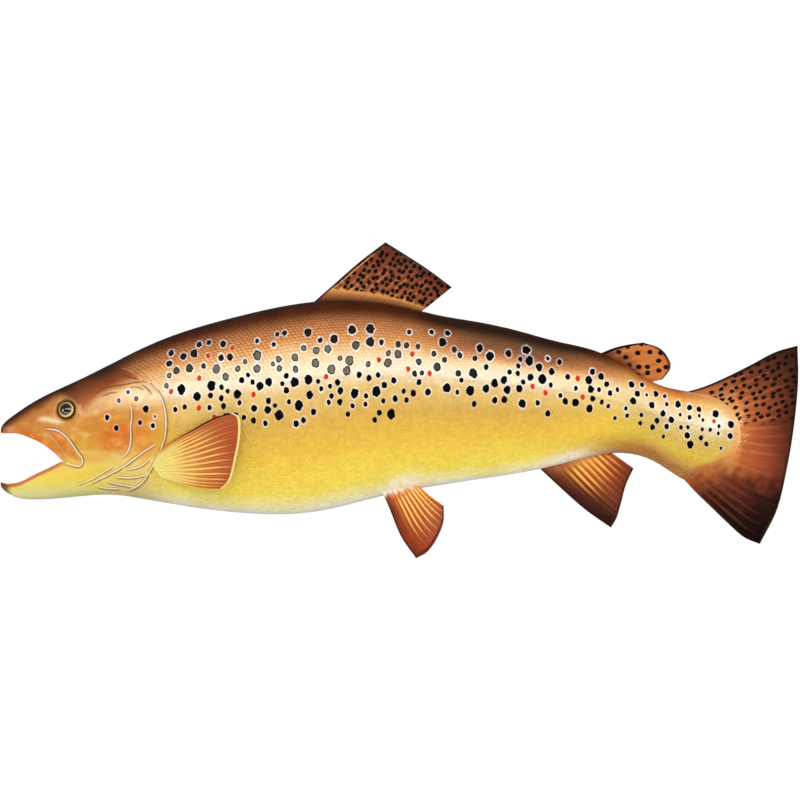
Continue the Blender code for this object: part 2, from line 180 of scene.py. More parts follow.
class Paint:
    """A material whose graph is written as sums."""

    def __init__(self, name):
        self.material = bpy.data.materials.new(name)
        self.material.use_nodes = True
        self.tree = self.material.node_tree
        self.shader = self.tree.nodes["Principled BSDF"]

    def node(self, kind, settings=(), values=(), output=0):
        made = self.tree.nodes.new(kind)
        for key, value in dict(settings).items():
            if key == "stops":
                ramp = made.color_ramp.elements
                while len(ramp) < len(value):
                    ramp.new(0.5)
                for stop, (at, *colour) in zip(ramp, value):
                    stop.position = at
                    stop.color = (*linear(colour), 1.0)
            else:
                setattr(made, key, value)
        for key, value in dict(values).items():
            if isinstance(value, Wire):
                self.tree.links.new(value.socket, made.inputs[key])
            else:
                made.inputs[key].default_value = value
        return Wire(self, made.outputs[output])

    def pair(self, first, second):
        return self.node("ShaderNodeCombineXYZ", {}, {0: first, 1: second})

    def mark(self, name):
        """A vector that the mesh carries under this name."""
        return self.node("ShaderNodeAttribute", {"attribute_name": name}, output=1)

    def marks(self, name):
        """The three numbers of such a vector."""
        return self.parts(self.mark(name))

    def parts(self, vector):
        split = self.tree.nodes.new("ShaderNodeSeparateXYZ")
        self.tree.links.new(vector.socket, split.inputs[0])
        return [Wire(self, out) for out in split.outputs]

    def vector(self, operation, first, second):
        return self.node("ShaderNodeVectorMath", {"operation": operation}, {0: first, 1: second})

    def where(self):
        """The place on the piece, in metres."""
        return self.node("ShaderNodeTexCoord", output=3)

    def mix(self, share, first, second, blend="MIX"):
        ends = [(*linear(c), 1.0) if isinstance(c, tuple) else c for c in (first, second)]
        settings = {"data_type": "RGBA", "blend_type": blend}
        return self.node("ShaderNodeMix", settings, {0: share, 6: ends[0], 7: ends[1]}, output=2)

    def noise(self, size, detail=2.0, vector=None, stretch=None):
        """Soft noise whose grain is about this many mm."""
        spot = vector or self.where()
        if stretch:
            spot = self.vector("MULTIPLY", spot, stretch)
        values = {"Vector": spot, "Scale": 1000 / size, "Detail": detail}
        return self.node("ShaderNodeTexNoise", {}, values)

    def strokes(self, across, along, detail=3.0):
        """Noise drawn out into strokes, from two counts of its grains."""
        return self.noise(1000.0, detail, self.pair(across, along))

    def finish(
        self, colour, roughness, bump=None, depth=0.0004, strength=0.5, coat=1.0, coat_roughness=0.06,
        coat_ior=VARNISH_IOR,
    ):  # fmt: skip
        """Sets the shader; bump is the height of a relief that is depth metres deep."""
        for name, value in (("Base Color", colour), ("Roughness", roughness), ("Coat Weight", coat)):
            if isinstance(value, Wire):
                self.tree.links.new(value.socket, self.shader.inputs[name])
            elif isinstance(value, tuple):
                self.shader.inputs[name].default_value = (*linear(value), 1.0)
            else:
                self.shader.inputs[name].default_value = value
        self.shader.inputs["Coat Roughness"].default_value = coat_roughness
        self.shader.inputs["Coat IOR"].default_value = coat_ior
        self.shader.inputs["Specular IOR Level"].default_value = PAINT_SPECULAR
        if bump is not None:
            values = {"Height": bump, "Distance": depth, "Strength": strength}
            relief = self.node("ShaderNodeBump", {}, values)
            self.tree.links.new(relief.socket, self.shader.inputs["Normal"])
        return self.material


# ---------------------------------------------------------------- curves


def smooth(share):
    share = np.clip(share, 0, 1)
    return share * share * (3 - 2 * share)


def hump(distance, width):
    return np.exp(-((distance / width) ** 2))


def stacked(*values):
    """Vectors from the arrays of their parts."""
    return np.stack(values, axis=-1)


def unit(vectors):
    return vectors / np.linalg.norm(vectors, axis=-1, keepdims=True)


# ---------------------------------------------------------------- body shape, in mm

# Distance behind the snout, then the heights of the back, of the belly and of the widest point
# above the hanger's centre, then half the width.
STATIONS = np.array(
    (
        (0, -45.0, -98.0, -70, 0.0),
        (4, -36.5, -103.5, -68, 5.4),
        (14, -28.5, -109.5, -66, 10.2),
        (39, -12.5, -112.0, -60, 17.8),
        (78, 6.0, -109.0, -52, 27.0),
        (115, 24.5, -108.0, -47, 34.2),
        (156, 44.2, -114.8, -42, 39.5),
        (235, 68.5, -125.5, -34, 44.5),
        (313, 82.5, -123.5, -26, 46.0),
        (391, 77.5, -105.0, -18, 43.5),
        (430, 68.5, -98.5, -16, 40.7),
        (469, 61.8, -92.5, -14, 37.0),
        (508, 53.0, -86.5, -14, 32.8),
        (547, 42.5, -78.0, -14, 28.0),
        (586, 32.2, -68.5, -16, 23.0),
        (616, 16.0, -68.0, -23, 19.0),
        (640, 2.2, -76.0, -33, 15.5),
        (670, -5.5, -94.0, -44, 11.0),
        (726, -10.5, -93.0, -52, 3.2),
    ),
    float,
)
FULLNESS = 2.2  # of a section: 2 is an ellipse, and more is squarer
BODY_END = 726.0
GAPE_END, CORNER_Z = 62.5, -74.6  # the corner of the mouth
MOUTH_END = 108.0
FOLDS_END, HEAD_END = 185.0, 190.0  # where the relief and the colours of the head stop
BODY_START = 158.0  # where the lateral line and the drawn spots begin
TAIL_START = 640.0
TOP_COAT, SCALE_COAT = 0.1, 0.45  # how deep the skin lies everywhere, and more where it is scaled


def natural_spline(knots, values):
    """A curve through the values, straightening at its two ends."""
    count, step = len(knots), np.diff(knots)
    matrix, right = np.eye(count), np.zeros(count)
    for i in range(1, count - 1):
        matrix[i, i - 1 : i + 2] = step[i - 1], 2 * (step[i - 1] + step[i]), step[i]
        slopes = (values[i + 1] - values[i]) / step[i], (values[i] - values[i - 1]) / step[i - 1]
        right[i] = 6 * (slopes[0] - slopes[1])
    bend = np.linalg.solve(matrix, right)

    def curve(at):
        at = np.asarray(at, float)
        i = np.clip(np.searchsorted(knots, at) - 1, 0, count - 2)
        b = (at - knots[i]) / step[i]
        a = 1 - b
        cubic = (a**3 - a) * bend[i] + (b**3 - b) * bend[i + 1]
        return a * values[i] + b * values[i + 1] + cubic * step[i] ** 2 / 6

    return curve


BACK, BELLY, WIDEST, HALF_WIDTH = (
    natural_spline(np.sqrt(STATIONS[:, 0]), STATIONS[:, i]) for i in range(1, 5)
)


def coat_depth(along):
    """How far the skin lies inside the solids, under its scales."""
    return TOP_COAT + SCALE_COAT * smooth((along - 120) / 50)


def section(along):
    """Heights of the back, the belly and the widest point, and half the width."""
    u = np.sqrt(np.maximum(along, 0.0))
    inset = coat_depth(along) * smooth(along / 6)
    half = np.maximum(HALF_WIDTH(u) - inset, 0.0)
    return BACK(u) - inset, BELLY(u) + inset, WIDEST(u), half


def round_body(along, turn):
    """(across, height) on the body at an angle from the back, 0, to the belly, pi."""
    back, belly, widest, half = section(along)
    rise = np.cos(turn)
    rise = np.sign(rise) * np.abs(rise) ** (2 / FULLNESS)
    across = half * np.abs(np.sin(turn)) ** (2 / FULLNESS)
    return across, widest + np.where(rise > 0, back - widest, widest - belly) * rise


def turn_at(along, height):
    """The angle round the body at which its side is at this height."""
    back, belly, widest, _ = section(along)
    share = (height - widest) / np.where(height > widest, back - widest, widest - belly)
    share = np.clip(share, -1, 1)
    return np.arccos(np.sign(share) * np.abs(share) ** (FULLNESS / 2))


def flank(along, height):
    """Half the body's width at this height."""
    return round_body(along, turn_at(along, height))[0]


def through(points, count=80):
    """Many points on a smooth curve through a few."""
    points = np.array(points, float)
    steps = np.concatenate([[0], np.cumsum(np.hypot(*np.diff(points, axis=0).T))])
    at = np.linspace(0, steps[-1], count)
    return np.stack([natural_spline(steps, points[:, i])(at) for i in (0, 1)], axis=1)


def foot(flat, a, b):
    """From places to a segment: its run, the share of it at their feet, the feet and distances."""
    run = b - a
    share = np.clip(((flat - a) @ run) / (run @ run), 0, 1)
    spot = a + share[:, None] * run
    return run, share, spot, np.hypot(*(flat - spot).T)


def gap_to(curve, along, height):
    """Signed distance to a curve (positive on the left of its run), and the share along it."""
    flat = np.stack([along.ravel(), height.ravel()], axis=1)
    near, share, sign = np.full(len(flat), 1e9), np.zeros(len(flat)), np.ones(len(flat))
    for i, (a, b) in enumerate(zip(curve, curve[1:])):
        run, t, spot, distance = foot(flat, a, b)
        closer = distance < near
        near[closer] = distance[closer]
        share[closer] = (i + t[closer]) / (len(curve) - 1)
        off = flat - spot
        side = run[0] * off[:, 1] - run[1] * off[:, 0]
        sign[closer] = np.where(side[closer] >= 0, 1, -1)
    return (near * sign).reshape(along.shape), share.reshape(along.shape)


# ---------------------------------------------------------------- folds of the head

GILL_RIM = through(
    [(146, 0), (154, -6), (160, -17), (163, -34), (161.3, -53), (155.6, -68), (147, -84),
     (139, -95.5), (129, -101.5), (120, -105)]
)  # fmt: skip
CHEEK_RIM = through(
    [(127, -16), (129.7, -29), (128.6, -41), (128.8, -53), (126.5, -63), (121.5, -69.5), (114, -71.5)]
)
LOWER_PLATE = through(
    [(155, -56.5), (139.5, -66.3), (126.5, -76), (113.5, -84), (97.5, -92), (80, -100)]
)
JAW_STRAP = through([(112, -79), (100.5, -85.7), (87.5, -93), (70, -99)])
GILL_STRAPS = [
    through(points, 30)
    for points in (
        [(149, -69.5), (138, -79), (122, -82.3)],
        [(146, -86.5), (130, -90.3), (110, -89)],
        [(131, -99.5), (117, -97), (102, -93.5)],
        [(118, -101.3), (104, -100.8), (93, -98.5)],
    )
]
LIP_BONE = through(
    [(42, -43), (53.5, -43.6), (64.8, -50), (71.5, -58.2), (77.8, -67.5), (81.3, -73.5), (79, -78.8),
     (71, -78), (63.5, -76)]
)  # fmt: skip
LIP_PLATE = through([(40, -48), (50, -51), (58, -59), (66, -69.5), (74, -76)], 40)
NAPE_FOLDS = [
    through(
        [(89, -17), (94, -9), (105, -2.5), (120, 0), (137, 3), (147, 2), (154, -6), (158, -14)], 50
    ),
    through([(117, 14), (124, 8.5), (136, 6), (147, 4.5)], 30),
    through([(138, 0.5), (145, -4), (150, -11)], 30),
    through([(126, -2.5), (136, -2.5), (143, -6)], 30),
    through([(98, -12), (108, -8), (118, -7.5)], 30),
]
EYE_RIDGE = through([(33, -35.5), (42, -33.5), (52, -35), (66, -37.5)], 30)
EYE_AT = np.array((65.0, -24.0))
NOSTRILS = ((37.0, -22.0, 1.3), (41.0, -20.6, 1.0))  # place and width
COVER_SHINE = (136, -11, 20, 8)  # centre and half sizes of a painted highlight high on the gill cover

# Each crease: its line, how high it stands in mm, how wide, how pale, and how it fades in and out. Below 0,
# its paleness is a dark line of painted shade.
CREASES = [
    (GILL_RIM, 1.0, 1.3, 1.0, 0.10, 0.10),
    (CHEEK_RIM, 0.6, 0.9, 0.9, 0.2, 0.2),
    (LOWER_PLATE, 0.6, 0.95, 1.0, 0.06, 0.25),
    (JAW_STRAP, 0.4, 0.85, 0.75, 0.12, 0.3),
    *((strap, 0.5, 0.95, 0.85, 0.1, 0.3) for strap in GILL_STRAPS),
    (LIP_BONE, 0.7, 0.95, 1.0, 0.12, 0.05),
    (LIP_PLATE, 0.3, 0.8, 0.2, 0.2, 0.1),
    # Folds of the nape: grooves painted with a dark line of shade.
    *((fold, -0.12, 1.3, -0.8, 0.2, 0.3) for fold in NAPE_FOLDS),
]


def fade_ends(share, grows, shrinks):
    """How strong a line is along its run, from nothing at both of its ends."""
    return smooth(share / grows) * smooth((1 - share) / shrinks)


def folds(along, height):
    """Relief of the head in mm, painted shade where it is hollow, and painted highlights on its soft
    ridges.
    """
    relief, hollow_shade, lights = (np.zeros(along.shape) for _ in range(3))
    near_head = along < FOLDS_END
    x, z = along[near_head], height[near_head]
    lift, dark = np.zeros(x.shape), np.zeros(x.shape)

    for line, tall, width, _, grows, shrinks in CREASES:
        gap, share = gap_to(line, x, z)
        ends = fade_ends(share, grows, shrinks)
        lift += ends * tall * (hump(gap, width) - 0.7 * hump(gap - 2.1, 1.1))
        if line is GILL_RIM:  # the cover stands up in front of its rim
            lift += 1.4 * ends * smooth((0.7 - gap) / 1.5) * (1 - smooth((-gap - 4) / 34))
        if line is LIP_BONE:  # and the bone has a hollow inside its edge
            lift -= ends * 0.7 * hump(gap + 2.3, 1.2)

    gap, share = gap_to(EYE_RIDGE, x, z)
    under_eye = fade_ends(share, 0.35, 0.35)
    lift += under_eye * (0.7 * hump(gap, 1.9) - 0.3 * hump(gap + 3.4, 1.6))
    # Painted highlights along the ridge under the eye and high on the gill cover.
    at_x, at_z, long, tall = COVER_SHINE
    shine = 0.6 * hump(np.hypot((x - at_x) / long, (z - at_z) / tall), 1.0)
    light = np.maximum(0.75 * under_eye * hump(gap - 0.3, 2.6), shine)

    off = np.hypot(x - EYE_AT[0], (z - EYE_AT[1]) * 0.95)
    lift += 0.6 * hump(off - 11.6, 1.6) - 3.4 * (1 - smooth((off - 7.9) / 1.9))
    # Painted shade round the eye socket and in the nostril pits.
    dark += 0.95 * hump(off - 8.6, 1.0) + 0.3 * hump(off - 10.2, 1.6)
    for at_x, at_z, wide in NOSTRILS:
        hole = hump(np.hypot((x - at_x) / 1.3, z - at_z), wide)
        lift -= 0.5 * hole
        dark += 0.75 * hole
    relief[near_head], hollow_shade[near_head], lights[near_head] = lift, np.clip(dark, 0, 1), light
    return relief, hollow_shade, lights


def nearest_crease(along, height):
    """For each place: a point of the nearest crease, its sideways direction and its paleness.

    A fold of the nape gets a line of painted shade instead, so its paleness is below 0.
    """
    best = np.full(len(along), 1e9)
    found = np.zeros((len(along), 5))
    flat = np.stack([along, height], axis=1)
    for line, _, _, pale, grows, shrinks in CREASES:
        for i, (a, b) in enumerate(zip(line, line[1:])):
            run, t, spot, distance = foot(flat, a, b)
            closer = distance < best
            best[closer] = distance[closer]
            ends = fade_ends((i + t[closer]) / (len(line) - 1), grows, shrinks)
            side = np.array((-run[1], run[0])) / np.hypot(*run)
            sides = np.tile(side, (closer.sum(), 1))
            found[closer] = np.column_stack([spot[closer], sides, pale * ends])
    return found


# ---------------------------------------------------------------- meshes


def only(*pieces):
    """Selects these pieces and nothing else."""
    bpy.ops.object.select_all(action="DESELECT")
    for piece in pieces:
        piece.select_set(True)
    if pieces:
        bpy.context.view_layer.objects.active = pieces[0]


def in_metres(points):
    """Scene places from points in mm behind the snout, across and up."""
    return (points + np.array((SNOUT_X, MIDDLE_Y, 0.0))) * MM


def triples(items, key):
    """Three numbers of each vertex or face of a mesh, as they stand."""
    flat = np.empty(len(items) * 3, np.float32)
    items.foreach_get(key, flat)
    return flat.reshape(-1, 3)


def write(items, key, values):
    items.foreach_set(key, values.astype(np.float32).ravel())


def carry(mesh, name, values, domain="POINT"):
    """Writes a vector on each vertex or face, for the paints to read by name."""
    write(mesh.attributes.new(name, "FLOAT_VECTOR", domain).data, "vector", values)


def edit_whole(piece, *steps):
    """Runs edit steps on the whole piece, turns its faces outwards and shades it smooth."""
    only(piece)
    bpy.ops.object.mode_set(mode="EDIT")
    for step in (*steps, lambda: bpy.ops.mesh.normals_make_consistent(inside=False)):
        bpy.ops.mesh.select_all(action="SELECT")
        step()
    bpy.ops.object.mode_set(mode="OBJECT")
    bpy.ops.object.shade_smooth()
    only()


def sheet(name, points, marks, chart):
    """A grid primitive whose vertices are set out as rows of points, in mm.

    marks are vertex values by name, and chart is the place of each vertex on the unwrap.
    """
    rows, columns = points.shape[:2]
    bpy.ops.mesh.primitive_grid_add(x_subdivisions=rows - 1, y_subdivisions=columns - 1, size=1)
    piece = bpy.context.object
    piece.name = name
    mesh = piece.data
    order = np.lexsort(np.round(triples(mesh.vertices, "co")[:, 1::-1].T * 1e4))

    def in_order(values):
        laid = np.empty((rows * columns, values.shape[-1]))
        laid[order] = values.reshape(rows * columns, -1)
        return laid

    write(mesh.vertices, "co", in_order(in_metres(points)))
    for key, values in marks.items():
        carry(mesh, key, in_order(np.zeros((rows, columns, 3)) + values))
    corner = np.empty(len(mesh.loops), np.int32)
    mesh.loops.foreach_get("vertex_index", corner)
    mesh.uv_layers[0].name = "OFBake"
    write(mesh.uv_layers[0].data, "uv", in_order(chart)[corner])
    return piece


def joined(name, pieces, within=0.02):
    """The sheets made one closed mesh that faces outwards; within is how near points meet."""
    only(*pieces)
    bpy.ops.object.join()
    piece = bpy.context.object
    piece.name = piece.data.name = name
    edit_whole(
        piece,
        lambda: bpy.ops.mesh.remove_doubles(threshold=within * MM),
        lambda: bpy.ops.mesh.dissolve_degenerate(threshold=0.001 * MM),
    )
    return piece


def plain_mesh(name, places, faces, marks):
    """A mesh of triangles from places in metres."""
    mesh = bpy.data.meshes.new(name)
    mesh.vertices.add(len(places))
    write(mesh.vertices, "co", places)
    mesh.loops.add(faces.size)
    mesh.loops.foreach_set("vertex_index", faces.astype(np.int32).ravel())
    mesh.polygons.add(len(faces))
    mesh.polygons.foreach_set("loop_start", np.arange(0, faces.size, 3, dtype=np.int32))
    mesh.polygons.foreach_set("use_smooth", np.ones(len(faces), bool))
    mesh.update(calc_edges=True)
    for key, values in marks.items():
        carry(mesh, key, values)
    piece = bpy.data.objects.new(name, mesh)
    bpy.context.scene.collection.objects.link(piece)
    return piece


def outward(grid):
    """Normals of a left-hand grid of body points, rows along and columns round."""
    normal = np.cross(np.gradient(grid, axis=0), np.gradient(grid, axis=1))
    normal /= np.maximum(np.linalg.norm(normal, axis=2, keepdims=True), 1e-9)
    return np.where(normal[..., 1:2] <= 0, normal, -normal)


def chart_of(along, turn, side):
    """The body unwrapped: its length across, and each side's girth up one half."""
    u = 0.01 + 0.98 * (0.62 * along / LENGTH + 0.38 * np.minimum(along / 175.0, 1.0))
    v = 0.985 - 0.47 * turn / math.pi
    return stacked(u, v if side < 0 else v - 0.49)


# ---------------------------------------------------------------- skin

UPPER_LIP = natural_spline(
    np.array((0, 10, 20, 29, 39, 49, 58, GAPE_END)),
    np.array((-46.5, -45.8, -47.0, -50.3, -54.8, -61.3, -69.2, CORNER_Z)),
)
LOWER_LIP = natural_spline(
    np.array((0, 5, 10, 20, 29, 39, 49, 58, GAPE_END)),
    np.array((-95.0, -97.4, -97.6, -95.6, -91.2, -86.2, -81.6, -77.0, CORNER_Z)),
)
PALATE = natural_spline(
    np.array((0, 16, 24, 40, 60, 85, 104, MOUTH_END)),
    np.array((-46.5, -44.5, -43, -46, -55, -61, -67, -74)),
)
MOUTH_FLOOR = natural_spline(
    np.array((0, 16, 24, 40, 60, 85, 104, MOUTH_END)),
    np.array((-95.5, -99, -101, -101, -98, -95.5, -87, -80)),
)
FLESH_END = through(
    [(640, 30), (672, -3), (692, -9.5), (709, -18.5), (719.5, -33), (723.5, -50), (718, -66),
     (703, -77.5), (686, -86), (668, -97), (640, -120)]
)  # fmt: skip
LATERAL_LINE = through(
    [(160, 4), (240, 7), (320, 7.5), (440, 5), (520, -3), (600, -17), (660, -36), (722, -47)]
)
HEAD_CAP = through(
    [(-6, -50), (10, -42), (30, -29), (48, -19), (60, -13), (74, -22), (83, -26), (90, -20), (98, -13),
     (112, -5), (130, 3), (152, 14)]
)  # fmt: skip
LOWER_LIP_EDGE = through(
    [(63, -76), (49, -81.5), (39, -86), (29, -91), (20, -95.5), (10, -97.5), (2, -95.5)]
)
# Orange patches of the head: centre, half sizes and strength.
WARM_PATCHES = (
    (147, -54, 12, 18, 0.5), (60, -66, 10, 7, 0.6), (92, -72, 11, 5, 0.35), (104, -38, 26, 12, 0.25),
)  # fmt: skip
CELLS = 60  # from the back to the middle of a side, and again to the belly
LIP = 1.25  # radius of the rolled lips


def rows_along():
    """Where the rings of skin stand: close on the head, wider on the trunk."""
    places = [0.0]
    while places[-1] < BODY_END - 0.2:
        x = places[-1]
        on_head = 0.35 + 0.62 * min(x / 6, 1.0)
        on_trunk = 2.9 * float(smooth((x - 168) / 60))
        on_tail = 1.2 * float(smooth((x - 560) / 60))
        places.append(min(x + (on_head + on_trunk - on_tail), BODY_END))
    places = np.array(places)
    for corner in (GAPE_END, MOUTH_END):
        places[np.argmin(np.abs(places - corner))] = corner
    return places


def head_glow(x, z):
    """How orange the head is: in patches, on the cheek, the gill cover, the lips and the lip bone."""
    patches = [
        much * (1 - smooth(np.hypot((x - at_x) / wide, (z - at_z) / tall) * 0.8 - 0.3))
        for at_x, at_z, wide, tall, much in WARM_PATCHES
    ]
    cheek = smooth((x - 84) / 26) * (1 - smooth((x - 126) / 2.5))
    cheek = cheek * smooth((z + 66) / 6) * (1 - smooth((z + 44) / 17))
    cover = smooth((x - 130) / 6) * (1 - smooth((x - 152) / 14))
    cover = cover * smooth((z + 66) / 8) * (1 - smooth((z + 30) / 14))
    capped, front = np.minimum(x, GAPE_END), 1 - smooth((x - 52) / 12)
    above, under = z - UPPER_LIP(capped), LOWER_LIP(capped) - z
    upper_lip = front * (above > -3) * (1 - smooth((above - 1.5) / 8))
    lower_lip = front * (under > -3) * (1 - smooth((under - 1.2) / 2.6))
    off, share = gap_to(LIP_BONE, x, z)
    bone = smooth((-off - 1) / 3) * (1 - smooth((-off - 9) / 6))
    bone = bone * smooth(share / 0.2) * smooth((0.8 - share) / 0.2)
    return np.maximum.reduce(
        [*patches, 0.8 * cheek, 0.5 * cover, 0.8 * upper_lip, 0.95 * lower_lip, 0.75 * bone]
    )


def marks_at(x, z, turn):
    """The relief in mm and the marks that the paints read, from the place on the body."""
    relief, shade_and_jaw_darks, lights = folds(x, z)
    back, belly, _, _ = section(x)
    rise = np.clip((z - belly) / np.maximum(back - belly, 0.1), 0, 1)
    cap, line, warm, tail_end = (np.zeros(x.shape) for _ in range(4))
    head, body, tail = x < HEAD_END, x > BODY_START, x > TAIL_START
    on_head = x[head], z[head]
    cap[head] = smooth((gap_to(HEAD_CAP, *on_head)[0] + 4.0) / 11.5)
    line[body] = 0.22 * hump(gap_to(LATERAL_LINE, x[body], z[body])[0], 0.9)
    warm[head] = head_glow(*on_head)
    tail_end[tail] = smooth((gap_to(FLESH_END, x[tail], z[tail])[0] + 17) / 17)
    # The jaws' dark tips and the line under the lower lip are their own colour; they join the painted shade
    # from the folds.
    jaw_tips = np.where(z > -80, 0.85 * (1 - smooth((x - 1) / 9)), 1 - smooth((x - 4) / 9))
    shade_and_jaw_darks = np.maximum(shade_and_jaw_darks, jaw_tips)
    under_lip = 0.4 * hump(gap_to(LOWER_LIP_EDGE, *on_head)[0], 1.8)
    shade_and_jaw_darks[head] = np.maximum(shade_and_jaw_darks[head], under_lip)
    # Painted highlights by the anal fin and on the flesh lobe of the tail, and pale belly by the pelvic
    # fin.
    anal_highlight = hump(x - 550, 24) * hump(z - belly - 2, 8)
    pelvic_pale = hump(x - 392, 18) * hump(z - belly - 5, 10)
    tail_root = 0.9 * hump(x - 697, 17) * hump(z + 38, 9)
    pale_and_highlight = np.maximum.reduce([anal_highlight, pelvic_pale, tail_root])
    return relief, {
        "place": stacked(x / LENGTH, rise, turn / math.pi),
        "fold": stacked(lights, shade_and_jaw_darks, 0 * x),
        "tone": stacked(cap, line, warm),
        "ends": stacked(tail_end, (back - z) / 30, pale_and_highlight),
    }


def body_point(x, turn):
    """(along, across, height) on the flesh; it thins to an edge round its end on the tail."""
    y, z = round_body(x, turn)
    tail = x > TAIL_START
    if np.any(tail):
        gap, _ = gap_to(FLESH_END, x[tail], z[tail])
        slim = np.clip(-gap / 16.0, 0, 1)
        thin = np.minimum(y[tail], 0.9 + 10.0 * slim**0.7)
        late = smooth((x[tail] - TAIL_START) / 30)
        closing = np.sqrt(np.clip((BODY_END - x[tail]) / 6, 0, 1))
        y[tail] = (y[tail] * (1 - late) + late * thin) * closing
    return stacked(x, -y, z)


def build_skin():
    """Both sides of the flesh, each in an upper and a lower sheet that part at the mouth."""
    rows = rows_along()
    x = rows[:, None] * np.ones(CELLS + 1)
    q = np.linspace(0, 1, CELLS + 1)[None, :]
    corner = float(turn_at(GAPE_END, UPPER_LIP(GAPE_END)))
    split = corner + (math.pi * 0.5 - corner) * smooth((rows - GAPE_END) / 120)
    in_mouth, capped = rows < GAPE_END, np.minimum(rows, GAPE_END)
    upper_end = np.where(in_mouth, turn_at(rows, UPPER_LIP(capped)), split)[:, None]
    lower_end = np.where(in_mouth, turn_at(rows, LOWER_LIP(capped)), split)[:, None]
    pieces, edges = [], {}
    for kind, turn in (("upper", q * upper_end), ("lower", lower_end + q * (math.pi - lower_end))):
        grid = body_point(x, turn)
        relief, marks = marks_at(x, grid[..., 2], turn)
        grid = grid + outward(grid) * (relief * smooth(-grid[..., 1] / 2.0))[..., None]
        grid[:, 0 if kind == "upper" else -1, 1] = 0.0
        edge = -1 if kind == "upper" else 0
        edges[kind] = grid[:, edge], marks["place"][:, edge]
        for side in (-1, 1):
            pieces.append(sheet("skin", grid * (1, -side, 1), marks, chart_of(x, turn, side)))
    pieces += mouth_sheets(rows, edges)
    return joined("skin", pieces)


def mouth_chart(grid, low):
    """A strip of the unwrap below the body's."""
    up = low + 0.014 * np.clip(-grid[..., 1] / 20, 0, 1)
    return stacked(0.02 + grid[..., 0] / 400, up)


def mouth_sheets(rows, edges):
    """The rolled lips and the lining, back to the throat."""
    inner = rows[rows <= MOUTH_END]
    lips = int(np.searchsorted(rows, GAPE_END)) + 1
    gape = UPPER_LIP(inner[:lips]) - LOWER_LIP(inner[:lips])
    a, b = np.linspace(0, math.pi, 8), np.linspace(0, math.pi / 2, 25)
    # Each jaw: which way its lip rolls, what closes it, and its strips of the unwrap.
    jaws = {"upper": (1, PALATE, 0.001, 0.006), "lower": (-1, MOUTH_FLOOR, 0.004, 0.008)}
    pieces, starts = [], {}
    for kind, (down, _, strip, _) in jaws.items():
        edge, place = (values[:lips] for values in edges[kind])
        y0, z0 = -edge[:, 1:2], edge[:, 2:]
        radius = np.minimum(LIP, y0 / 3.2)
        hang = np.minimum(radius, gape[:, None] / 5) * down
        y, z = radius * (1 - np.cos(a)) - y0, z0 - hang * np.sin(a)
        roll = stacked(inner[:lips, None] + 0 * a, y, z)
        marks = {
            "place": place[:, None, :] + 0 * roll,
            "fold": stacked(0 * a, 0 * a, np.linspace(0.1, 1, 8))[None],
            "tone": 0 * roll + (0, 0, 0.95),
            "ends": 0.0,
        }
        for side in (-1, 1):
            pieces.append(sheet("lip", roll * (1, -side, 1), marks, mouth_chart(roll, strip)))
        starts[kind] = roll[:, -1]
    behind = inner[lips:]
    side_z = CORNER_Z - 3.0 * smooth((behind - GAPE_END) / 45)
    side_y = flank(behind, side_z) - 2 * LIP - 5.5 * smooth((behind - GAPE_END) / 12)
    side_y *= 1 - 0.5 * smooth((behind - 84) / 24)
    for kind, (_, top, _, strip) in jaws.items():
        y_side = np.concatenate([-starts[kind][:, 1], side_y])[:, None]
        z_side = np.concatenate([starts[kind][:, 2], side_z])[:, None]
        y = y_side * np.cos(b)
        y[:, -1] = 0.0
        z = z_side + (top(inner)[:, None] - z_side) * np.sin(b) ** 0.8
        grid = stacked(inner[:, None] + 0 * b, -y, z)
        end = np.stack([grid[-1], 0 * grid[-1] + np.array((MOUTH_END + 6, 0, -77.5))])
        for side in (-1, 1):
            for lining in (grid, end):
                x = lining[..., 0]
                place = stacked(x / LENGTH, 0 * x + 0.5, 0 * x)
                marks = {"place": place, "fold": np.array((0, 0, 1.0)), "tone": 0.0, "ends": 0.0}
                chart = mouth_chart(lining, strip)
                pieces.append(sheet("lining", lining * (1, -side, 1), marks, chart))
    return pieces


# ---------------------------------------------------------------- spots


SCALE_EDGE = through(
    [(108, 60), (114, 22), (128, 8), (147, 1.5), (160.5, -12), (165.5, -34), (164, -53), (158.5, -68),
     (149.5, -84), (141.5, -96), (132, -103.5), (122, -125)]
)  # fmt: skip
SPOTS_A_SIDE, MOST_TRIES = 252, 60000
SPOTS_ALONG, SPOTS_HIGH = (BODY_START, 718), (-75, 62)
RED_SHARE, LARGEST_RED = 0.1, 2.6
# Spots of the cheek and gill cover: along, height and size.
HEAD_SPOTS = (
    (126, -7, 2.3), (117, -15.5, 2.3), (134, -13.5, 2.5), (105.5, -31.5, 2.7), (114.5, -42, 2.7),
    (143.5, -23.5, 3.4), (152.5, -30.5, 2.0), (138, -36.5, 2.4), (150.5, -39.5, 2.6),
)  # fmt: skip


def lateral_line(x):
    return np.interp(x, LATERAL_LINE[:, 0], LATERAL_LINE[:, 1])


def off_the_band(x, z):
    """How far a place is from the middle of the band of spots, whose edges are at -1 and 1."""
    up = 24 + 24 * (1 - smooth((x - 400) / 190))
    down = 33 + 21 * (1 - smooth((x - 180) / 330))
    middle = lateral_line(x) - 5 + 13 * smooth((x - 260) / 200)
    return (z - middle) / (up if z > middle else down)


def takes_spots(x, z):
    """Whether a place is on the scaled flank, off the breast and not over the back."""
    here = np.array((x,)), np.array((z,))
    if x < 240 and z < -36 - 0.15 * (x - 240):
        return False
    if gap_to(SCALE_EDGE, *here)[0][0] < 5 or gap_to(FLESH_END, *here)[0][0] > -7:
        return False
    return turn_at(x, z) >= 0.62


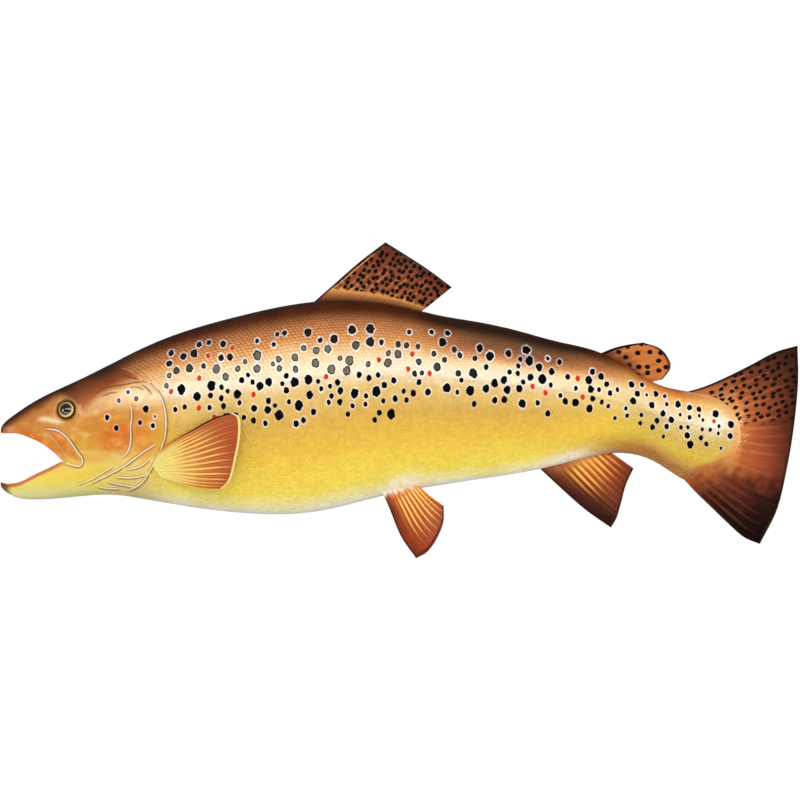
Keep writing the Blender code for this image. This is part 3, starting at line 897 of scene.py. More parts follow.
def flank_spots(side):
    """Dark and red spots over one flank, thickest along the lateral line.

    Returns their places, and size in mm, redness and the greyness of a painted highlight on each.
    """
    spots = [(*spot, 0.0) for spot in HEAD_SPOTS]
    tries = 0
    while len(spots) < SPOTS_A_SIDE and tries < MOST_TRIES:
        tries += 1
        x, z = dice.uniform(*SPOTS_ALONG), dice.uniform(*SPOTS_HIGH)
        off = off_the_band(x, z)
        wanted = 1 - 0.93 * smooth(abs(off) * 1.35 - 0.3)
        if abs(off) > 1.05 or dice.random() > wanted or not takes_spots(x, z):
            continue
        size = (2.4 + 2.5 * dice.random() ** 1.3) * (1 - 0.27 * smooth((x - 480) / 200))
        if any(math.hypot(x - sx, z - sz) < size + ss + 1.5 for sx, sz, ss, _ in spots):
            continue
        red = 1.0 if dice.random() < RED_SHARE and abs(off) < 0.8 else 0.0
        spots.append((x, z, min(size, LARGEST_RED) if red else size, red))
    x, z, size, red = np.array(spots).T
    # Spots in the bright band high on the flank, and high on the head, get greyish cores: a painted
    # highlight over the black.
    over = z - lateral_line(x)
    low, high = -9 + 12 * smooth((x - 190) / 60), 5 + 22 * smooth((x - 175) / 130)
    glare_grey = smooth((over - low) / 4) * (1 - 0.92 * smooth((over - high) / 8))
    glare_grey = glare_grey * (1 - smooth((x - 330) / 160))
    glare_grey = np.where(x < 157, 0.9 * (z > -18), glare_grey)
    places = in_metres(stacked(x, side * flank(x, z), z))
    return places, stacked(size, red, glare_grey)


def mark_creases(piece):
    """Gives each face of the head its nearest crease, in mm, for crisp pale lines and lines of painted
    shade.
    """
    centres = triples(piece.data.polygons, "center").astype(float) / MM - (SNOUT_X, MIDDLE_Y, 0.0)
    at, side = np.zeros((len(centres), 3)), np.zeros((len(centres), 3))
    near = centres[:, 0] < HEAD_END
    found = nearest_crease(centres[near, 0], centres[near, 2])
    at[near], side[near, :2] = found[:, (0, 1, 4)], found[:, 2:4]
    carry(piece.data, "crease_at", at, "FACE")
    carry(piece.data, "crease_side", side, "FACE")


SPOTS = [np.concatenate(both) for both in zip(flank_spots(-1), flank_spots(1))]


def mark_spots(piece):
    """Gives each face the spot nearest to it: its centre, and its size in mm, redness and greyness from a
    painted highlight.
    """
    centres = triples(piece.data.polygons, "center")
    places, kinds = SPOTS
    nearest = np.empty(len(centres), np.int64)
    batch = 20000
    for start in range(0, len(centres), batch):
        some = centres[start : start + batch, None, :]
        away = np.linalg.norm(some - places[None].astype(np.float32), axis=2)
        nearest[start : start + batch] = (away - kinds[None, :, 0] * MM).argmin(axis=1)
    carry(piece.data, "spot_place", places[nearest], "FACE")
    carry(piece.data, "spot_kind", kinds[nearest], "FACE")


# ---------------------------------------------------------------- scales

SCALE_ROWS = 39
SCALES_START, SCALES_END = 112.0, 722.0
SCALE_LENGTH = 2.5  # in pitches, so that each scale lies over the next
SCALE_WIDTH, LEAST_WIDTH = 0.62, 1.6  # a share of the row's width, and mm
SCALE_LIFT, LIFT_JITTER = 0.25, 0.05
ALONG_JITTER, TURN_JITTER = 0.12, 0.003
BODY_MIDDLE = (0, 0, -20)


def scale_shape():
    """One scale: (lie, across, lift) of its points, and its triangles. The free edge is a low wall."""
    rear = [(0.06, 0.52), (0.38, 0.36), (0.52, 0.0), (0.38, -0.36), (0.06, -0.52)]
    points = [(-0.48, 0.36, -0.6), (-0.48, -0.36, -0.6), (0.05, 0.0, 0.75)]
    points += [(u, v, 0.85 - 0.75 * abs(v)) for u, v in rear]
    points += [(u + 0.03, v * 1.03, -0.4) for u, v in rear]
    faces = [(0, 1, 2), (0, 2, 3), (1, 7, 2), *((2, 4 + i, 3 + i) for i in range(4))]
    faces += [face for i in range(3, 7) for face in ((i, i + 1, i + 6), (i, i + 6, i + 5))]
    return np.array(points), np.array(faces)


def scale_pitch(x):
    """From one column of scales to the next, in mm."""
    return 2.05 - 0.35 * smooth((x - 430) / 230)


def scale_places():
    """Where the scales stand, in offset rows: along, turn and the place on the skin."""
    alongs, ups = [], []
    x, column = SCALES_START, 0
    while x < SCALES_END:
        rows = np.arange(SCALE_ROWS) + (0.5 if column % 2 else 0.0)
        alongs.append(np.full(SCALE_ROWS, x))
        ups.append((rows + 0.25) / (SCALE_ROWS + 0.5))
        x, column = x + scale_pitch(x), column + 1
    x, turn = np.concatenate(alongs), np.concatenate(ups) * math.pi
    x = x + dice.uniform(-ALONG_JITTER, ALONG_JITTER, len(x))
    turn = turn + dice.uniform(-TURN_JITTER, TURN_JITTER, len(x))
    spot = body_point(x, turn)
    keep = gap_to(SCALE_EDGE, spot[:, 0], spot[:, 2])[0] > 1.2
    keep &= gap_to(FLESH_END, spot[:, 0], spot[:, 2])[0] < -4.0
    return x[keep], turn[keep], spot[keep]


def scale_axes(x, turn, spot):
    """Each scale's directions, back, across and out of the skin, and the width of its row."""
    step = 0.5
    lie = unit(body_point(x + step, turn) - body_point(x - step, turn))
    half_turn = 0.5 * math.pi / (SCALE_ROWS + 0.5)
    lower = body_point(x, np.clip(turn + half_turn, 0, math.pi))
    upper = body_point(x, np.clip(turn - half_turn, 0, math.pi))
    width = np.linalg.norm(lower - upper, axis=1)
    up = unit(np.cross(lie, (lower - upper) / width[:, None]))
    outwards = (up * (spot - BODY_MIDDLE) * (0, 1, 1)).sum(axis=1, keepdims=True)
    up = np.where(outwards < 0, -up, up)
    return (lie, np.cross(up, lie), up), width


def build_scales(name, side):
    """Vanes over one flank, each one lying back over the next."""
    shape, faces = scale_shape()
    x, turn, spot = scale_places()
    axes, width = scale_axes(x, turn, spot)
    lift = SCALE_LIFT + LIFT_JITTER * dice.uniform(-1, 1, len(x))
    lift *= 0.55 + 0.45 * smooth((x - 150) / 60)
    lift *= 0.15 + 0.85 * smooth((np.minimum(turn, math.pi - turn) - 0.1) / 0.35)
    sizes = scale_pitch(x) * SCALE_LENGTH, np.maximum(SCALE_WIDTH * width, LEAST_WIDTH), lift
    laid = spot[:, None, :]
    for i, (axis, size) in enumerate(zip(axes, sizes)):
        laid = laid + shape[None, :, i : i + 1] * size[:, None, None] * axis[:, None, :]
    points, count, corners = laid.reshape(-1, 3), len(x), len(shape)
    index = (faces[None] + corners * np.arange(count)[:, None, None]).reshape(-1, 3)
    _, marks = marks_at(np.repeat(x, corners), points[:, 2], np.repeat(turn, corners))
    chance = np.repeat(dice.random(count)[:, None] * (0, 0, 1), corners, axis=0)
    marks["lie"] = np.tile(shape * (1, 1, 0), (count, 1)) + chance
    patch = chart_of(x, turn, -1)
    patch[:, 1] = (patch[:, 1] - 0.5) * 2
    patches = patch[:, None, :] + 0.003 * shape[None, :, :2] * (1, -1)
    if side > 0:
        points, index = points * (1, -1, 1), index[:, ::-1]
    piece = plain_mesh(name, in_metres(points), index, marks)
    chart = piece.data.uv_layers.new(name="OFBake")
    write(chart.data, "uv", patches.reshape(-1, 2)[index.ravel()])
    return piece


# ---------------------------------------------------------------- fins


STEPS_OUT = 56
LEAST_HALF = 0.16  # half the least thickness of a fin inside its rounded rim


def edge_curve(points, share):
    """Points on a smooth curve through evenly shared points."""
    points = np.array(points, float)
    points = np.concatenate([2 * points[:1] - points[1:2], points, 2 * points[-1:] - points[-2:-1]])
    spot = np.asarray(share) * (len(points) - 3)
    i = np.minimum(spot.astype(int), len(points) - 4)
    t = (spot - i)[..., None]
    before, a, b, after = (points[i + k] for k in range(4))
    return (
        2 * a + (b - before) * t + (2 * before - 5 * a + 4 * b - after) * t**2
        + (3 * a - before - 3 * b + after) * t**3
    ) / 2  # fmt: skip


def spread_between(root, margin, front, rear, s, o):
    """Places on a sheet between four edges: s runs from front to rear, o from root to margin."""
    corners = [np.array(p, float) for p in (root[0], root[-1], margin[0], margin[-1])]
    over, out = s[..., None], o[..., None]
    edges = edge_curve(front, o) * (1 - over) + edge_curve(rear, o) * over
    ends = edge_curve(root, s) * (1 - out) + edge_curve(margin, s) * out
    flat = (1 - out) * ((1 - over) * corners[0] + over * corners[1])
    flat += out * ((1 - over) * corners[2] + over * corners[3])
    return edges + ends - flat


def fin(name, root, margin, front, rear, rays, thick, across, flare=0.0, relief=0.3):
    """A fin between its root, its margin and its two edges, with forked rays raised on both faces.

    The edges list only the points between root and margin. thick is half the thickness at the
    root and near the margin, flare thickens the root, and across gives how far the mid surface
    lies from the middle plane.
    """
    front, rear = [root[0], *front, margin[0]], [root[-1], *rear, margin[-1]]
    share = np.linspace(0, 1, 12 * rays + 1)
    share = np.sort(np.concatenate([share, [0.004, 0.012, 0.988, 0.996]]))[:, None]
    out = np.sort(np.concatenate([[0.0], np.linspace(0, 1, STEPS_OUT), [0.988, 0.996]]))[None, :]
    s, o = share + 0 * out, out + 0 * share
    spot = spread_between(root, margin, front, rear, s, o)
    x, z = spot[..., 0], spot[..., 1]
    half = thick[0] + (thick[1] - thick[0]) * o**0.7 + flare * np.clip(1 - o / 0.22, 0, 1) ** 2
    forked = smooth((o - 0.35) / 0.3)
    ray = (1 - forked) * np.cos(2 * math.pi * rays * s) + forked * np.cos(4 * math.pi * rays * s)
    half = half + relief * (1 - 0.75 * o) * (ray - 0.3) * smooth(o / 0.1)
    rim = np.minimum(np.minimum(s, 1 - s) * rays / 0.4, (1 - o) / 0.03)
    half = np.maximum(half, LEAST_HALF) * np.sqrt(np.clip(rim, 0, 1))
    half[:, 0] = 0.0
    middle = across(s, o, x, z)
    marks = {"fin": stacked(s, o, 0 * s)}
    pieces = []
    for face in (-1, 1):
        grid = stacked(x, middle + face * half, z)
        chart = stacked(0.01 + 0.47 * s + (0.5 if face > 0 else 0), 0.01 + 0.97 * o)
        pieces.append(sheet(name, grid, marks, chart))
    return joined(name, pieces, 0.004)


def swaying(amount):
    """A fin on the middle plane that waves gently across it."""
    return lambda s, o, x, z: amount * o * np.sin(math.pi * (s * 1.6 + 0.2))


def mirror_of(piece, name):
    """The same fin on the other side of the fish."""
    only(piece)
    bpy.ops.object.duplicate()
    other = bpy.context.object
    other.name = other.data.name = name
    middle = (0, MIDDLE_Y * MM, 0)
    edit_whole(other, lambda: bpy.ops.transform.resize(value=(1, -1, 1), center_override=middle))
    return other


def pelvic_lean(s, o, x, z):
    """The pelvic fin hangs down and a little outwards."""
    return -(11 + 0.12 * np.maximum(-92 - z, 0) + 1.5 * o * np.sin(5 * s))


def pectoral_lean(s, o, x, z):
    """The pectoral fin leaves the flank towards its tip."""
    return -(flank(x, np.clip(z, -98, 40)) - 2.0 + 13 * o**0.9 + 7 * s * o)


def build_fins():
    """The fins by the node that each one replaces."""
    fins = {}
    fins["dorsal_fin"] = fin(
        "dorsal_rays", [(298, 74), (336, 74), (372, 72), (404, 66)],
        [(376, 139.5), (397, 126.5), (419, 112), (441, 95.5)], [(323, 96), (351, 120.5)], [(423, 81)],
        14, (1.7, 0.6), swaying(1.2), flare=3.0, relief=0.12,
    )  # fmt: skip
    fins["adipose_fin"] = fin(
        "adipose_lobe", [(584, 30), (600, 20), (612, 9), (622, -1)],
        [(628, 41.5), (644, 36), (653, 25.5), (654.5, 16), (647, 5.5)], [(600, 36.3), (614, 39.6)],
        [(635, 2.5)], 6, (2.6, 1.2), swaying(0.5), flare=2.0, relief=0.0,
    )  # fmt: skip
    fins["anal_fin"] = fin(
        "anal_rays", [(520, -75), (544, -68), (566, -62), (584, -57)],
        [(596.5, -139.5), (602, -130), (606.5, -115), (611, -98), (618.5, -81.5)],
        [(545, -98.5), (571, -121.5)], [(602, -69.5)], 11, (2.0, 0.6), swaying(1.0), flare=2.5, relief=0.16,
    )  # fmt: skip
    fins["tail_fin"] = fin(
        "tail_rays", [(666, -8), (686, -26), (692, -49), (685, -72), (664, -88)],
        [(779, 38.5), (779.5, 2), (775.5, -40), (769, -79), (759, -121), (742, -155.5)],
        [(688, -1.5), (711, 8.5), (734, 20), (757, 32)],
        [(679, -104.5), (694, -119), (710, -134.5), (726, -148.5)],
        20, (2.6, 0.7), swaying(1.5), relief=0.14,
    )  # fmt: skip
    pelvic = fin(
        "pelvic_rays_left", [(368, -94), (379, -92), (390, -90), (399, -88)],
        [(406, -169), (417, -162.5), (426, -150), (432.5, -134), (433, -118.5)],
        [(379, -118), (391, -147)], [(416, -105)], 10, (2.0, 0.6), pelvic_lean, flare=2.0, relief=0.16,
    )  # fmt: skip
    pectoral = fin(
        "pectoral_rays_left", [(146, -70), (149, -77), (153, -84), (158, -91)],
        [(228, -27), (235, -32), (235.5, -50), (231.5, -72), (226, -92), (217, -101)],
        [(167, -56), (188, -44), (210, -32)], [(178, -96.5), (198, -100.5)], 15, (1.8, 0.6),
        pectoral_lean, flare=1.6, relief=0.22,
    )  # fmt: skip
    fins["pelvic_fin_left"], fins["pectoral_fin_left"] = pelvic, pectoral
    fins["pelvic_fin_right"] = mirror_of(pelvic, "pelvic_rays_right")
    fins["pectoral_fin_right"] = mirror_of(pectoral, "pectoral_rays_right")
    return fins


# ---------------------------------------------------------------- eyes and tongue

EYE_RADIUS, EYE_DEPTH, EYE_SUNK = 8.3, 5.6, 2.9
CORNEA, CORNEA_WIDTH = 0.9, 0.55  # how far it bulges in mm, and how wide it is in eye radii
TONGUE_START, TONGUE_LENGTH, TONGUE_FLOOR = 26, 50, -98.8


def build_eye(name, side):
    """A flattened ball seated in its socket, with its distance from the pupil's centre as a mark."""
    bpy.ops.mesh.primitive_uv_sphere_add(segments=56, ring_count=44, radius=1.0)
    eye = bpy.context.object
    eye.name = eye.data.name = name
    ball = triples(eye.data.vertices, "co").astype(float)
    x, z = EYE_AT
    lie = unit(np.array((1.0, -float(flank(x + 1, z) - flank(x - 1, z)) / 2, 0.0)))
    up = np.array((0.0, -float(flank(x, z + 1) - flank(x, z - 1)) / 2, 1.0))
    out = unit(np.cross(lie, up))
    out = out * (1 if out[1] < 0 else -1)
    up = np.cross(out, lie)
    centre = np.array((x, -float(flank(x, z)), z)) - out * EYE_SUNK
    from_pupil, front = np.hypot(ball[:, 0], ball[:, 1]), ball[:, 2] > 0
    bulge = ball[:, 2] * EYE_DEPTH + CORNEA * hump(from_pupil, CORNEA_WIDTH) * front
    points = centre + EYE_RADIUS * (ball[:, :1] * lie + ball[:, 1:2] * up) + bulge[:, None] * out
    write(eye.data.vertices, "co", in_metres(points * (1, -side, 1)))
    carry(eye.data, "ring", stacked(from_pupil, np.sign(ball[:, 2]), 0 * from_pupil))
    edit_whole(eye)
    return eye


def build_tongue():
    """A blunt tongue lying along the floor of the mouth."""
    t = np.linspace(0, 1, 41)[:, None]
    turn = np.linspace(0, 2 * math.pi, 41)[None, :]
    blunt = np.sqrt(np.clip(t / 0.04, 0, 1)) * np.sqrt(np.clip((1 - t) / 0.04, 0, 1))
    half, rise = (2.0 + 5.0 * np.sqrt(t)) * blunt, (1.4 + 2.6 * t) * blunt
    y = half * np.sin(turn)
    furrow = 0.5 * hump(y, 1.2) * (np.cos(turn) > 0)
    z = TONGUE_FLOOR + 8 * t + rise * np.cos(turn) - furrow
    grid = stacked(TONGUE_START + TONGUE_LENGTH * t + 0 * turn, y, z)
    chart = stacked(t + 0 * turn, turn / 7 + 0 * t)
    return joined("tongue_flesh", [sheet("tongue_flesh", grid, {}, chart)], 0.004)


# ---------------------------------------------------------------- paints


CREAM, RUST, PALE_GOLD = (246, 238, 220), (200, 102, 36), (244, 204, 138)
# The greyish spot colour is a painted highlight over black spots in the bright band.
SPOT_BLACK, SPOT_GLARE_GREY, SPOT_RED, HALO = (4, 3, 3), (128, 118, 100), (202, 60, 12), (240, 241, 242)
SPOT_SCALE = (1120.0, 1000.0, 900.0)  # from metres to mm, with spots a little taller than long


def flank_shades(paint, along, level):
    """The colours up the side, on the trunk, further back, and on the stem of the tail."""
    # The pale band high up the side, in all three ramps, is partly pale paint and partly a painted
    # highlight of the light from above.
    trunk = level.stops(
        (0.0, 246, 242, 226), (0.035, 236, 226, 158), (0.10, 230, 206, 78), (0.28, 219, 177, 50),
        (0.44, 203, 160, 66), (0.58, 216, 180, 108), (0.66, 237, 221, 192), (0.74, 235, 206, 156),
        (0.81, 202, 140, 74), (0.87, 154, 80, 38), (0.93, 98, 44, 20), (0.97, 64, 29, 12),
        (1.0, 26, 11, 5),
    )  # fmt: skip
    rear = level.stops(
        (0.0, 160, 98, 46), (0.10, 190, 138, 50), (0.26, 224, 186, 52), (0.45, 222, 182, 74),
        (0.60, 234, 210, 146), (0.72, 234, 198, 130), (0.82, 194, 116, 54), (0.92, 96, 44, 20),
        (1.0, 26, 12, 6),
    )  # fmt: skip
    stem = level.stops(
        (0.0, 172, 120, 52), (0.10, 160, 106, 44), (0.20, 190, 146, 54), (0.30, 206, 174, 58),
        (0.45, 204, 170, 80), (0.60, 206, 180, 112), (0.73, 236, 212, 166), (0.82, 238, 204, 138),
        (0.88, 242, 190, 102), (0.93, 224, 148, 66), (0.97, 198, 112, 52), (1.0, 140, 74, 38),
    )  # fmt: skip
    colour = paint.mix(along.fade(0.66, 0.80), trunk, rear)
    return paint.mix(along.fade(0.75, 0.815), colour, stem)


def head_shades(paint, along, z, mottle, glow, light):
    """Gold and orange up the side of the head, with streaks and painted highlights; its brown cap comes
    over them.
    """
    height = (z + 112) / 132 + mottle * 0.10
    colour = height.stops(
        (0.0, 206, 200, 150), (0.07, 208, 198, 116), (0.16, 220, 194, 70), (0.27, 212, 176, 62),
        (0.36, 204, 156, 62), (0.50, 198, 138, 56), (0.66, 202, 144, 66), (0.8, 214, 166, 98),
        (1.0, 196, 140, 82),
    )  # fmt: skip
    gills = along.fade(0.125, 0.155) * (1 - height.fade(0.22, 0.4))
    colour = paint.mix(gills * 0.6, colour, (204, 178, 108))
    colour = paint.mix(glow, colour, RUST)
    streaks, upper = paint.noise(7.0, 5.0, stretch=(0.6, 1.0, 1.0)), height.fade(0.24, 0.4)
    colour = paint.mix(streaks.fade(0.45, 0.72) * (upper * 0.28 + 0.05), colour, (164, 92, 40))
    pale_streaks = (1 - streaks.fade(0.26, 0.52)) * (upper * 0.2 + 0.06)
    colour = paint.mix(pale_streaks, colour, PALE_GOLD)
    snout = (1 - along.fade(0.03, 0.13)) * height.fade(0.45, 0.6)
    colour = paint.mix(snout * 0.65, colour, (178, 100, 52))
    # Painted highlights along the ridge under the eye and high on the gill cover.
    return paint.mix(light, colour, (246, 220, 174))


def tail_root(paint, colour, along, x, z, tail_end):
    """The flesh frays into the tail fin, paler in the middle of its height."""
    around = (z + 48).sum("ARCTAN2", z + 48, x - (SNOUT_X + 684))
    streak = paint.strokes(around * 22, tail_end * 1.5)
    stem = ((z + 100) / 110).stops(
        (0.0, 148, 78, 38), (0.12, 168, 94, 44), (0.3, 212, 142, 72), (0.6, 232, 180, 112),
        (1.0, 180, 104, 54),
    )  # fmt: skip
    low = (1 - z.fade(-102, -74)) * along.fade(0.82, 0.87) * 0.5
    return paint.mix((tail_end * 1.1 + streak * 0.9 + low).fade(0.85, 1.5), colour, stem)


def crease_lines(paint, colour, x, z):
    """Each crease as a pale line between two lines of painted shadow, or, on a fold of the nape, as one
    line of painted shade.
    """
    near_x, near_z, pale = paint.marks("crease_at")
    side_x, side_z, _ = paint.marks("crease_side")
    gap = (x - SNOUT_X - near_x) * side_x + (z - near_z) * side_z
    pale = pale * (paint.noise(5.0, 2.0).fade(0.2, 0.6) * 0.4 + 0.6)
    # Painted shade along the folds of the nape.
    dark = (1 - gap.size().fade(0.2, 1.4)) * (0 - pale) * 1.2
    colour = paint.mix(dark, colour, (122, 60, 24))
    pale = pale.most(0.0)
    # Painted shadow lines on both sides of each pale crease.
    behind, before = (gap - 1.2).size().fade(0.2, 1.5), (gap + 1.1).size().fade(0.1, 1.1)
    colour = paint.mix((1 - behind) * pale * 0.75, colour, (112, 66, 44))
    colour = paint.mix((1 - before) * pale * 0.55, colour, (140, 84, 52))
    wide = paint.noise(4.0, 1.0) * 0.9 + 0.3
    return paint.mix((1 - gap.size().fade(0.15, wide)) * pale, colour, (246, 228, 214))


def scale_net(paint, colour, along, rise, line):
    """The dark rims of the scales, a painted highlight on their middles, and the lateral line."""
    lie, wide, chance = paint.marks("lie")
    sides = wide.size().fade(0.24, 0.46)
    shade = sides * 0.75 + lie.fade(0.3, 0.52) * 0.4
    net = rise.fade(0.68, 0.84) * 0.6 + 0.09
    colour = paint.mix(shade * net, colour, (112, 54, 22))
    # A painted highlight on the middles of the scales high on the flank.
    crest = (1 - sides) * rise.fade(0.68, 0.8) * (1 - rise.fade(0.88, 0.96))
    crest = crest * (1 - along.fade(0.5, 0.62) * 0.5)
    colour = paint.mix(crest * 0.3, colour, (250, 178, 104))
    colour = paint.mix(1.0, colour, 0.93 + chance * 0.12, "MULTIPLY")
    return paint.mix(line, colour, (128, 84, 44))


def spotted(paint, colour, rise):
    """The colour with its spots and their pale rings, greying the spots in the bright band with a painted
    highlight, and how much of a spot each place is.
    """
    spot_at = paint.mark("spot_place")
    off = paint.vector("MULTIPLY", paint.vector("SUBTRACT", paint.where(), spot_at), SPOT_SCALE)
    off = paint.node("ShaderNodeVectorMath", {"operation": "LENGTH"}, {0: off}, 1)
    size, red, glare_grey = paint.marks("spot_kind")
    ragged = off + (paint.noise(3.6, 1.0) - 0.5) * (size * 0.7)
    fate = paint.noise(12.0, 1.0, spot_at).fade(0.35, 0.62)
    halo = 1 - ragged.fade(size - 0.3, size + 2.1)
    halo = halo * (1 - rise.fade(0.86, 0.97) * 0.7) * (1 - red * 0.6)
    halo = halo * (fate * 0.55 + rise.fade(0.56, 0.72) * 0.37 + 0.08)
    colour = paint.mix(halo, colour, HALO)
    # Greyish cores: a painted highlight over spots in the bright band.
    glare_core = glare_grey * (1 - ragged.fade(size - 1.7, size - 0.3) * 0.97)
    glare_core = glare_core * (paint.noise(2.2, 1.0) * 0.7 + 0.45)
    inside = paint.mix(red, paint.mix(glare_core, SPOT_BLACK, SPOT_GLARE_GREY), SPOT_RED)
    dot = 1 - ragged.fade(size - 0.35, size + 0.25)
    return paint.mix(dot, colour, inside), dot


def body_paint(name, scaled):
    """The skin's colours with painted highlights and painted shade; on scales each vane also has its dark
    rim.
    """
    paint = Paint(name)
    along, rise, _ = paint.marks("place")
    light, painted_shade_and_jaw_darks, lined = paint.marks("fold")
    cap, line, glow = paint.marks("tone")
    tail_end, deep, pale_and_highlight = paint.marks("ends")
    x, _, z = (axis * 1000 for axis in paint.parts(paint.where()))
    mottle = paint.noise(26.0, 3.0) - 0.5
    grain = paint.noise(5.0, 2.0) - 0.5
    level = rise + mottle * 0.07 + grain * 0.03 + along.fade(0.55, 0.86) * (rise * (1 - rise)) * 0.12
    rear_back = along.fade(0.5, 0.62) * (1 - along.fade(0.68, 0.76)) * rise.fade(0.7, 0.86)
    colour = flank_shades(paint, along, level + rear_back * 0.085)
    # Pale patches by the fin roots: painted highlights by the anal and tail fins, pale belly by the pelvic
    # fin.
    colour = paint.mix(pale_and_highlight * paint.noise(7.0, 3.0).fade(0.22, 0.52) * 0.95, colour, CREAM)
    brown = (deep + mottle * 0.5).stops(
        (0.0, 30, 16, 10), (0.10, 62, 32, 20), (0.30, 100, 52, 30), (0.62, 132, 70, 38),
        (0.95, 168, 94, 50),
    )  # fmt: skip
    head = paint.mix(cap, head_shades(paint, along, z, mottle, glow, light), brown)
    colour = paint.mix(along.fade(0.165, 0.235), head, colour)
    colour = tail_root(paint, colour, along, x, z, tail_end)
    # Painted shade of the head's hollow places, with the jaws' own dark tips and the line under the lower
    # lip.
    colour = paint.mix(painted_shade_and_jaw_darks * 0.9, colour, (78, 38, 20))
    if scaled:
        colour = scale_net(paint, colour, along, rise, line)
    else:
        colour = crease_lines(paint, colour, x, z)
    colour, dot = spotted(paint, colour, rise)
    flesh = paint.mix(along.fade(0.06, 0.13), (226, 170, 132), (92, 44, 34))
    colour = paint.mix(lined.fade(0.3, 0.9), colour, flesh)
    relief = paint.noise(1.6, 2.0) * 0.5 + paint.noise(0.5, 1.0) * 0.25
    coat = (1 - dot) * (1 - rise.fade(0.86, 0.97) * 0.55)
    return paint.finish(colour, 0.34 + grain.size() * 0.3, relief, 0.0003, 0.35, coat, 0.09)


FIN_BLACK = (12, 6, 5)


def fin_spots(paint, share, out, pitch, randomness, size, low, high, spread, lean, long):
    """Spots about a pitch apart and size mm in radius, from low outwards and up to high across.

    They end there over spread. lean is the slope of their rows in degrees, and long is how much
    longer than tall they are.
    """
    x, _, z = paint.parts(paint.where())
    ahead, up = (turn(math.radians(lean)) * 1000 / pitch for turn in (math.cos, math.sin))
    cell = paint.pair((x * ahead + z * up) * (1 / long), z * ahead - x * up)
    settings = {"voronoi_dimensions": "2D", "feature": "F1"}
    values = {"Vector": cell, "Scale": 1.0, "Randomness": randomness}
    near = paint.node("ShaderNodeTexVoronoi", settings, values) * pitch
    near = near + (paint.noise(2.5, 1.0) - 0.5) * 1.4
    mask = (1 - near.fade(size - 0.4, size + 0.4)) * out.fade(low, low + 0.02)
    return mask * (1 - share.fade(high, high + spread))


def fin_paint(
    name, bands, rays, ray_colour, strength=0.5, span=(-1.0, 0.72), reach=(0.5, 0.95), slant=0.0,
    spots=None, edge=(60, 26, 12), edge_wide=0.012, edge_from=(-1.0, 0.0), lead=None, rim=None,
    glints=None, teeth=0.0, even=(0.36, 0.6), start=(0.08, 0.25), furrow=0.0, shine=0.5,
):  # fmt: skip
    """A rayed fin; bands are ramps out from the root, given as (share across the fin, stops).

    The pale rays lie between the shares of span, and end within reach on their way out; slant
    ends them sooner at the front. start is where they begin on their way out, and a low even
    leaves out fewer of them. furrow darkens the gaps between them. The dark front edge grows
    within edge_from on its way out, lead is a pale line behind it, rim a pale margin, and glints
    are painted highlights, bright strokes near the root. teeth give the bands sawtooth edges
    beyond the root, and shine is how strong the varnish is.
    """
    paint = Paint(name)
    share, out, _ = paint.marks("fin")
    coat = 1.0
    wobble = (paint.noise(9.0, 2.0) - 0.5) * 0.14
    strokes = paint.strokes(share * (rays * 1.3), out * 2.0)
    ragged = wobble + (strokes - 0.5) * 0.16
    if teeth:
        ragged = (ragged + (share * (rays * 0.8)).fraction() * teeth) * out.fade(0.26, 0.34)
    place = out + ragged
    colour = place.stops(*bands[0][1])
    for (before, _), (after, stops) in zip(bands, bands[1:]):
        colour = paint.mix((share + wobble).fade(before, after), colour, place.stops(*stops))
    turn = share * (2 * math.pi * rays)
    forked, single = out.fade(0.35, 0.65), (turn + math.pi / 2).wave()
    wave = single * (1 - forked) + (turn * 2 + math.pi / 2).wave() * forked
    crest = single - (out - 0.5) * 1.5
    in_span = share.fade(span[0] - 0.1, span[0] + 0.1)
    raised = crest.fade(-0.3, 0.9) * strokes.fade(*even) * out.fade(*start)
    raised = raised * (1 - (out + (0.5 - share) * slant).fade(*reach) * 0.9)
    raised = raised * in_span * (1 - share.fade(span[1], span[1] + 0.23) * 0.75)
    colour = paint.mix(raised * strength, colour, ray_colour)
    if furrow:
        hollow = (0 - wave).fade(0.1, 1.0) * out.fade(0.2, 0.45) * in_span
        colour = paint.mix(hollow * furrow, colour, (146, 62, 28))
    fine = paint.strokes(share * (rays * 7), out * 2.5)
    colour = paint.mix(fine.fade(0.5, 0.8) * 0.45, colour, (84, 34, 16))
    if spots:
        mask = fin_spots(paint, share, out, *spots)
        colour = paint.mix(mask, colour, FIN_BLACK)
        coat = 1 - mask * 0.8
    # Painted highlights: bright glint strokes near the root.
    if glints:
        bright = paint.strokes(share * 160, out * 14, 2.0).fade(0.62, 0.68)
        bright = bright * share.fade(0.22, 0.36) * (1 - share.fade(0.5, 0.6)) * (1 - out.fade(*glints))
        colour = paint.mix(bright, colour, (252, 232, 206))
    if lead:
        line = 1 - (share - edge_wide - 0.03).size().fade(0.002, 0.013)
        colour = paint.mix(line * out.fade(0.2, 0.4) * (1 - out.fade(0.6, 1.0)) * 0.7, colour, lead)
    front_edge = (1 - share.fade(edge_wide, edge_wide + 0.018)) * out.fade(*edge_from)
    colour = paint.mix(front_edge, colour, edge)
    if rim:
        colour = paint.mix(out.fade(0.965, 0.978), colour, rim)
    else:
        colour = paint.mix(out.fade(0.975 - edge_wide, 0.99 - edge_wide) * 0.8, colour, edge)
    coat = share.fade(0.02, 0.1) * (1 - share.fade(0.9, 0.98)) * out.fade(0.12, 0.3) * shine * coat
    segments = wave * 0.6 + paint.noise(0.9, 2.0) * 0.6
    return paint.finish(colour, 0.38, segments, 0.0003, 0.45, coat, 0.1)


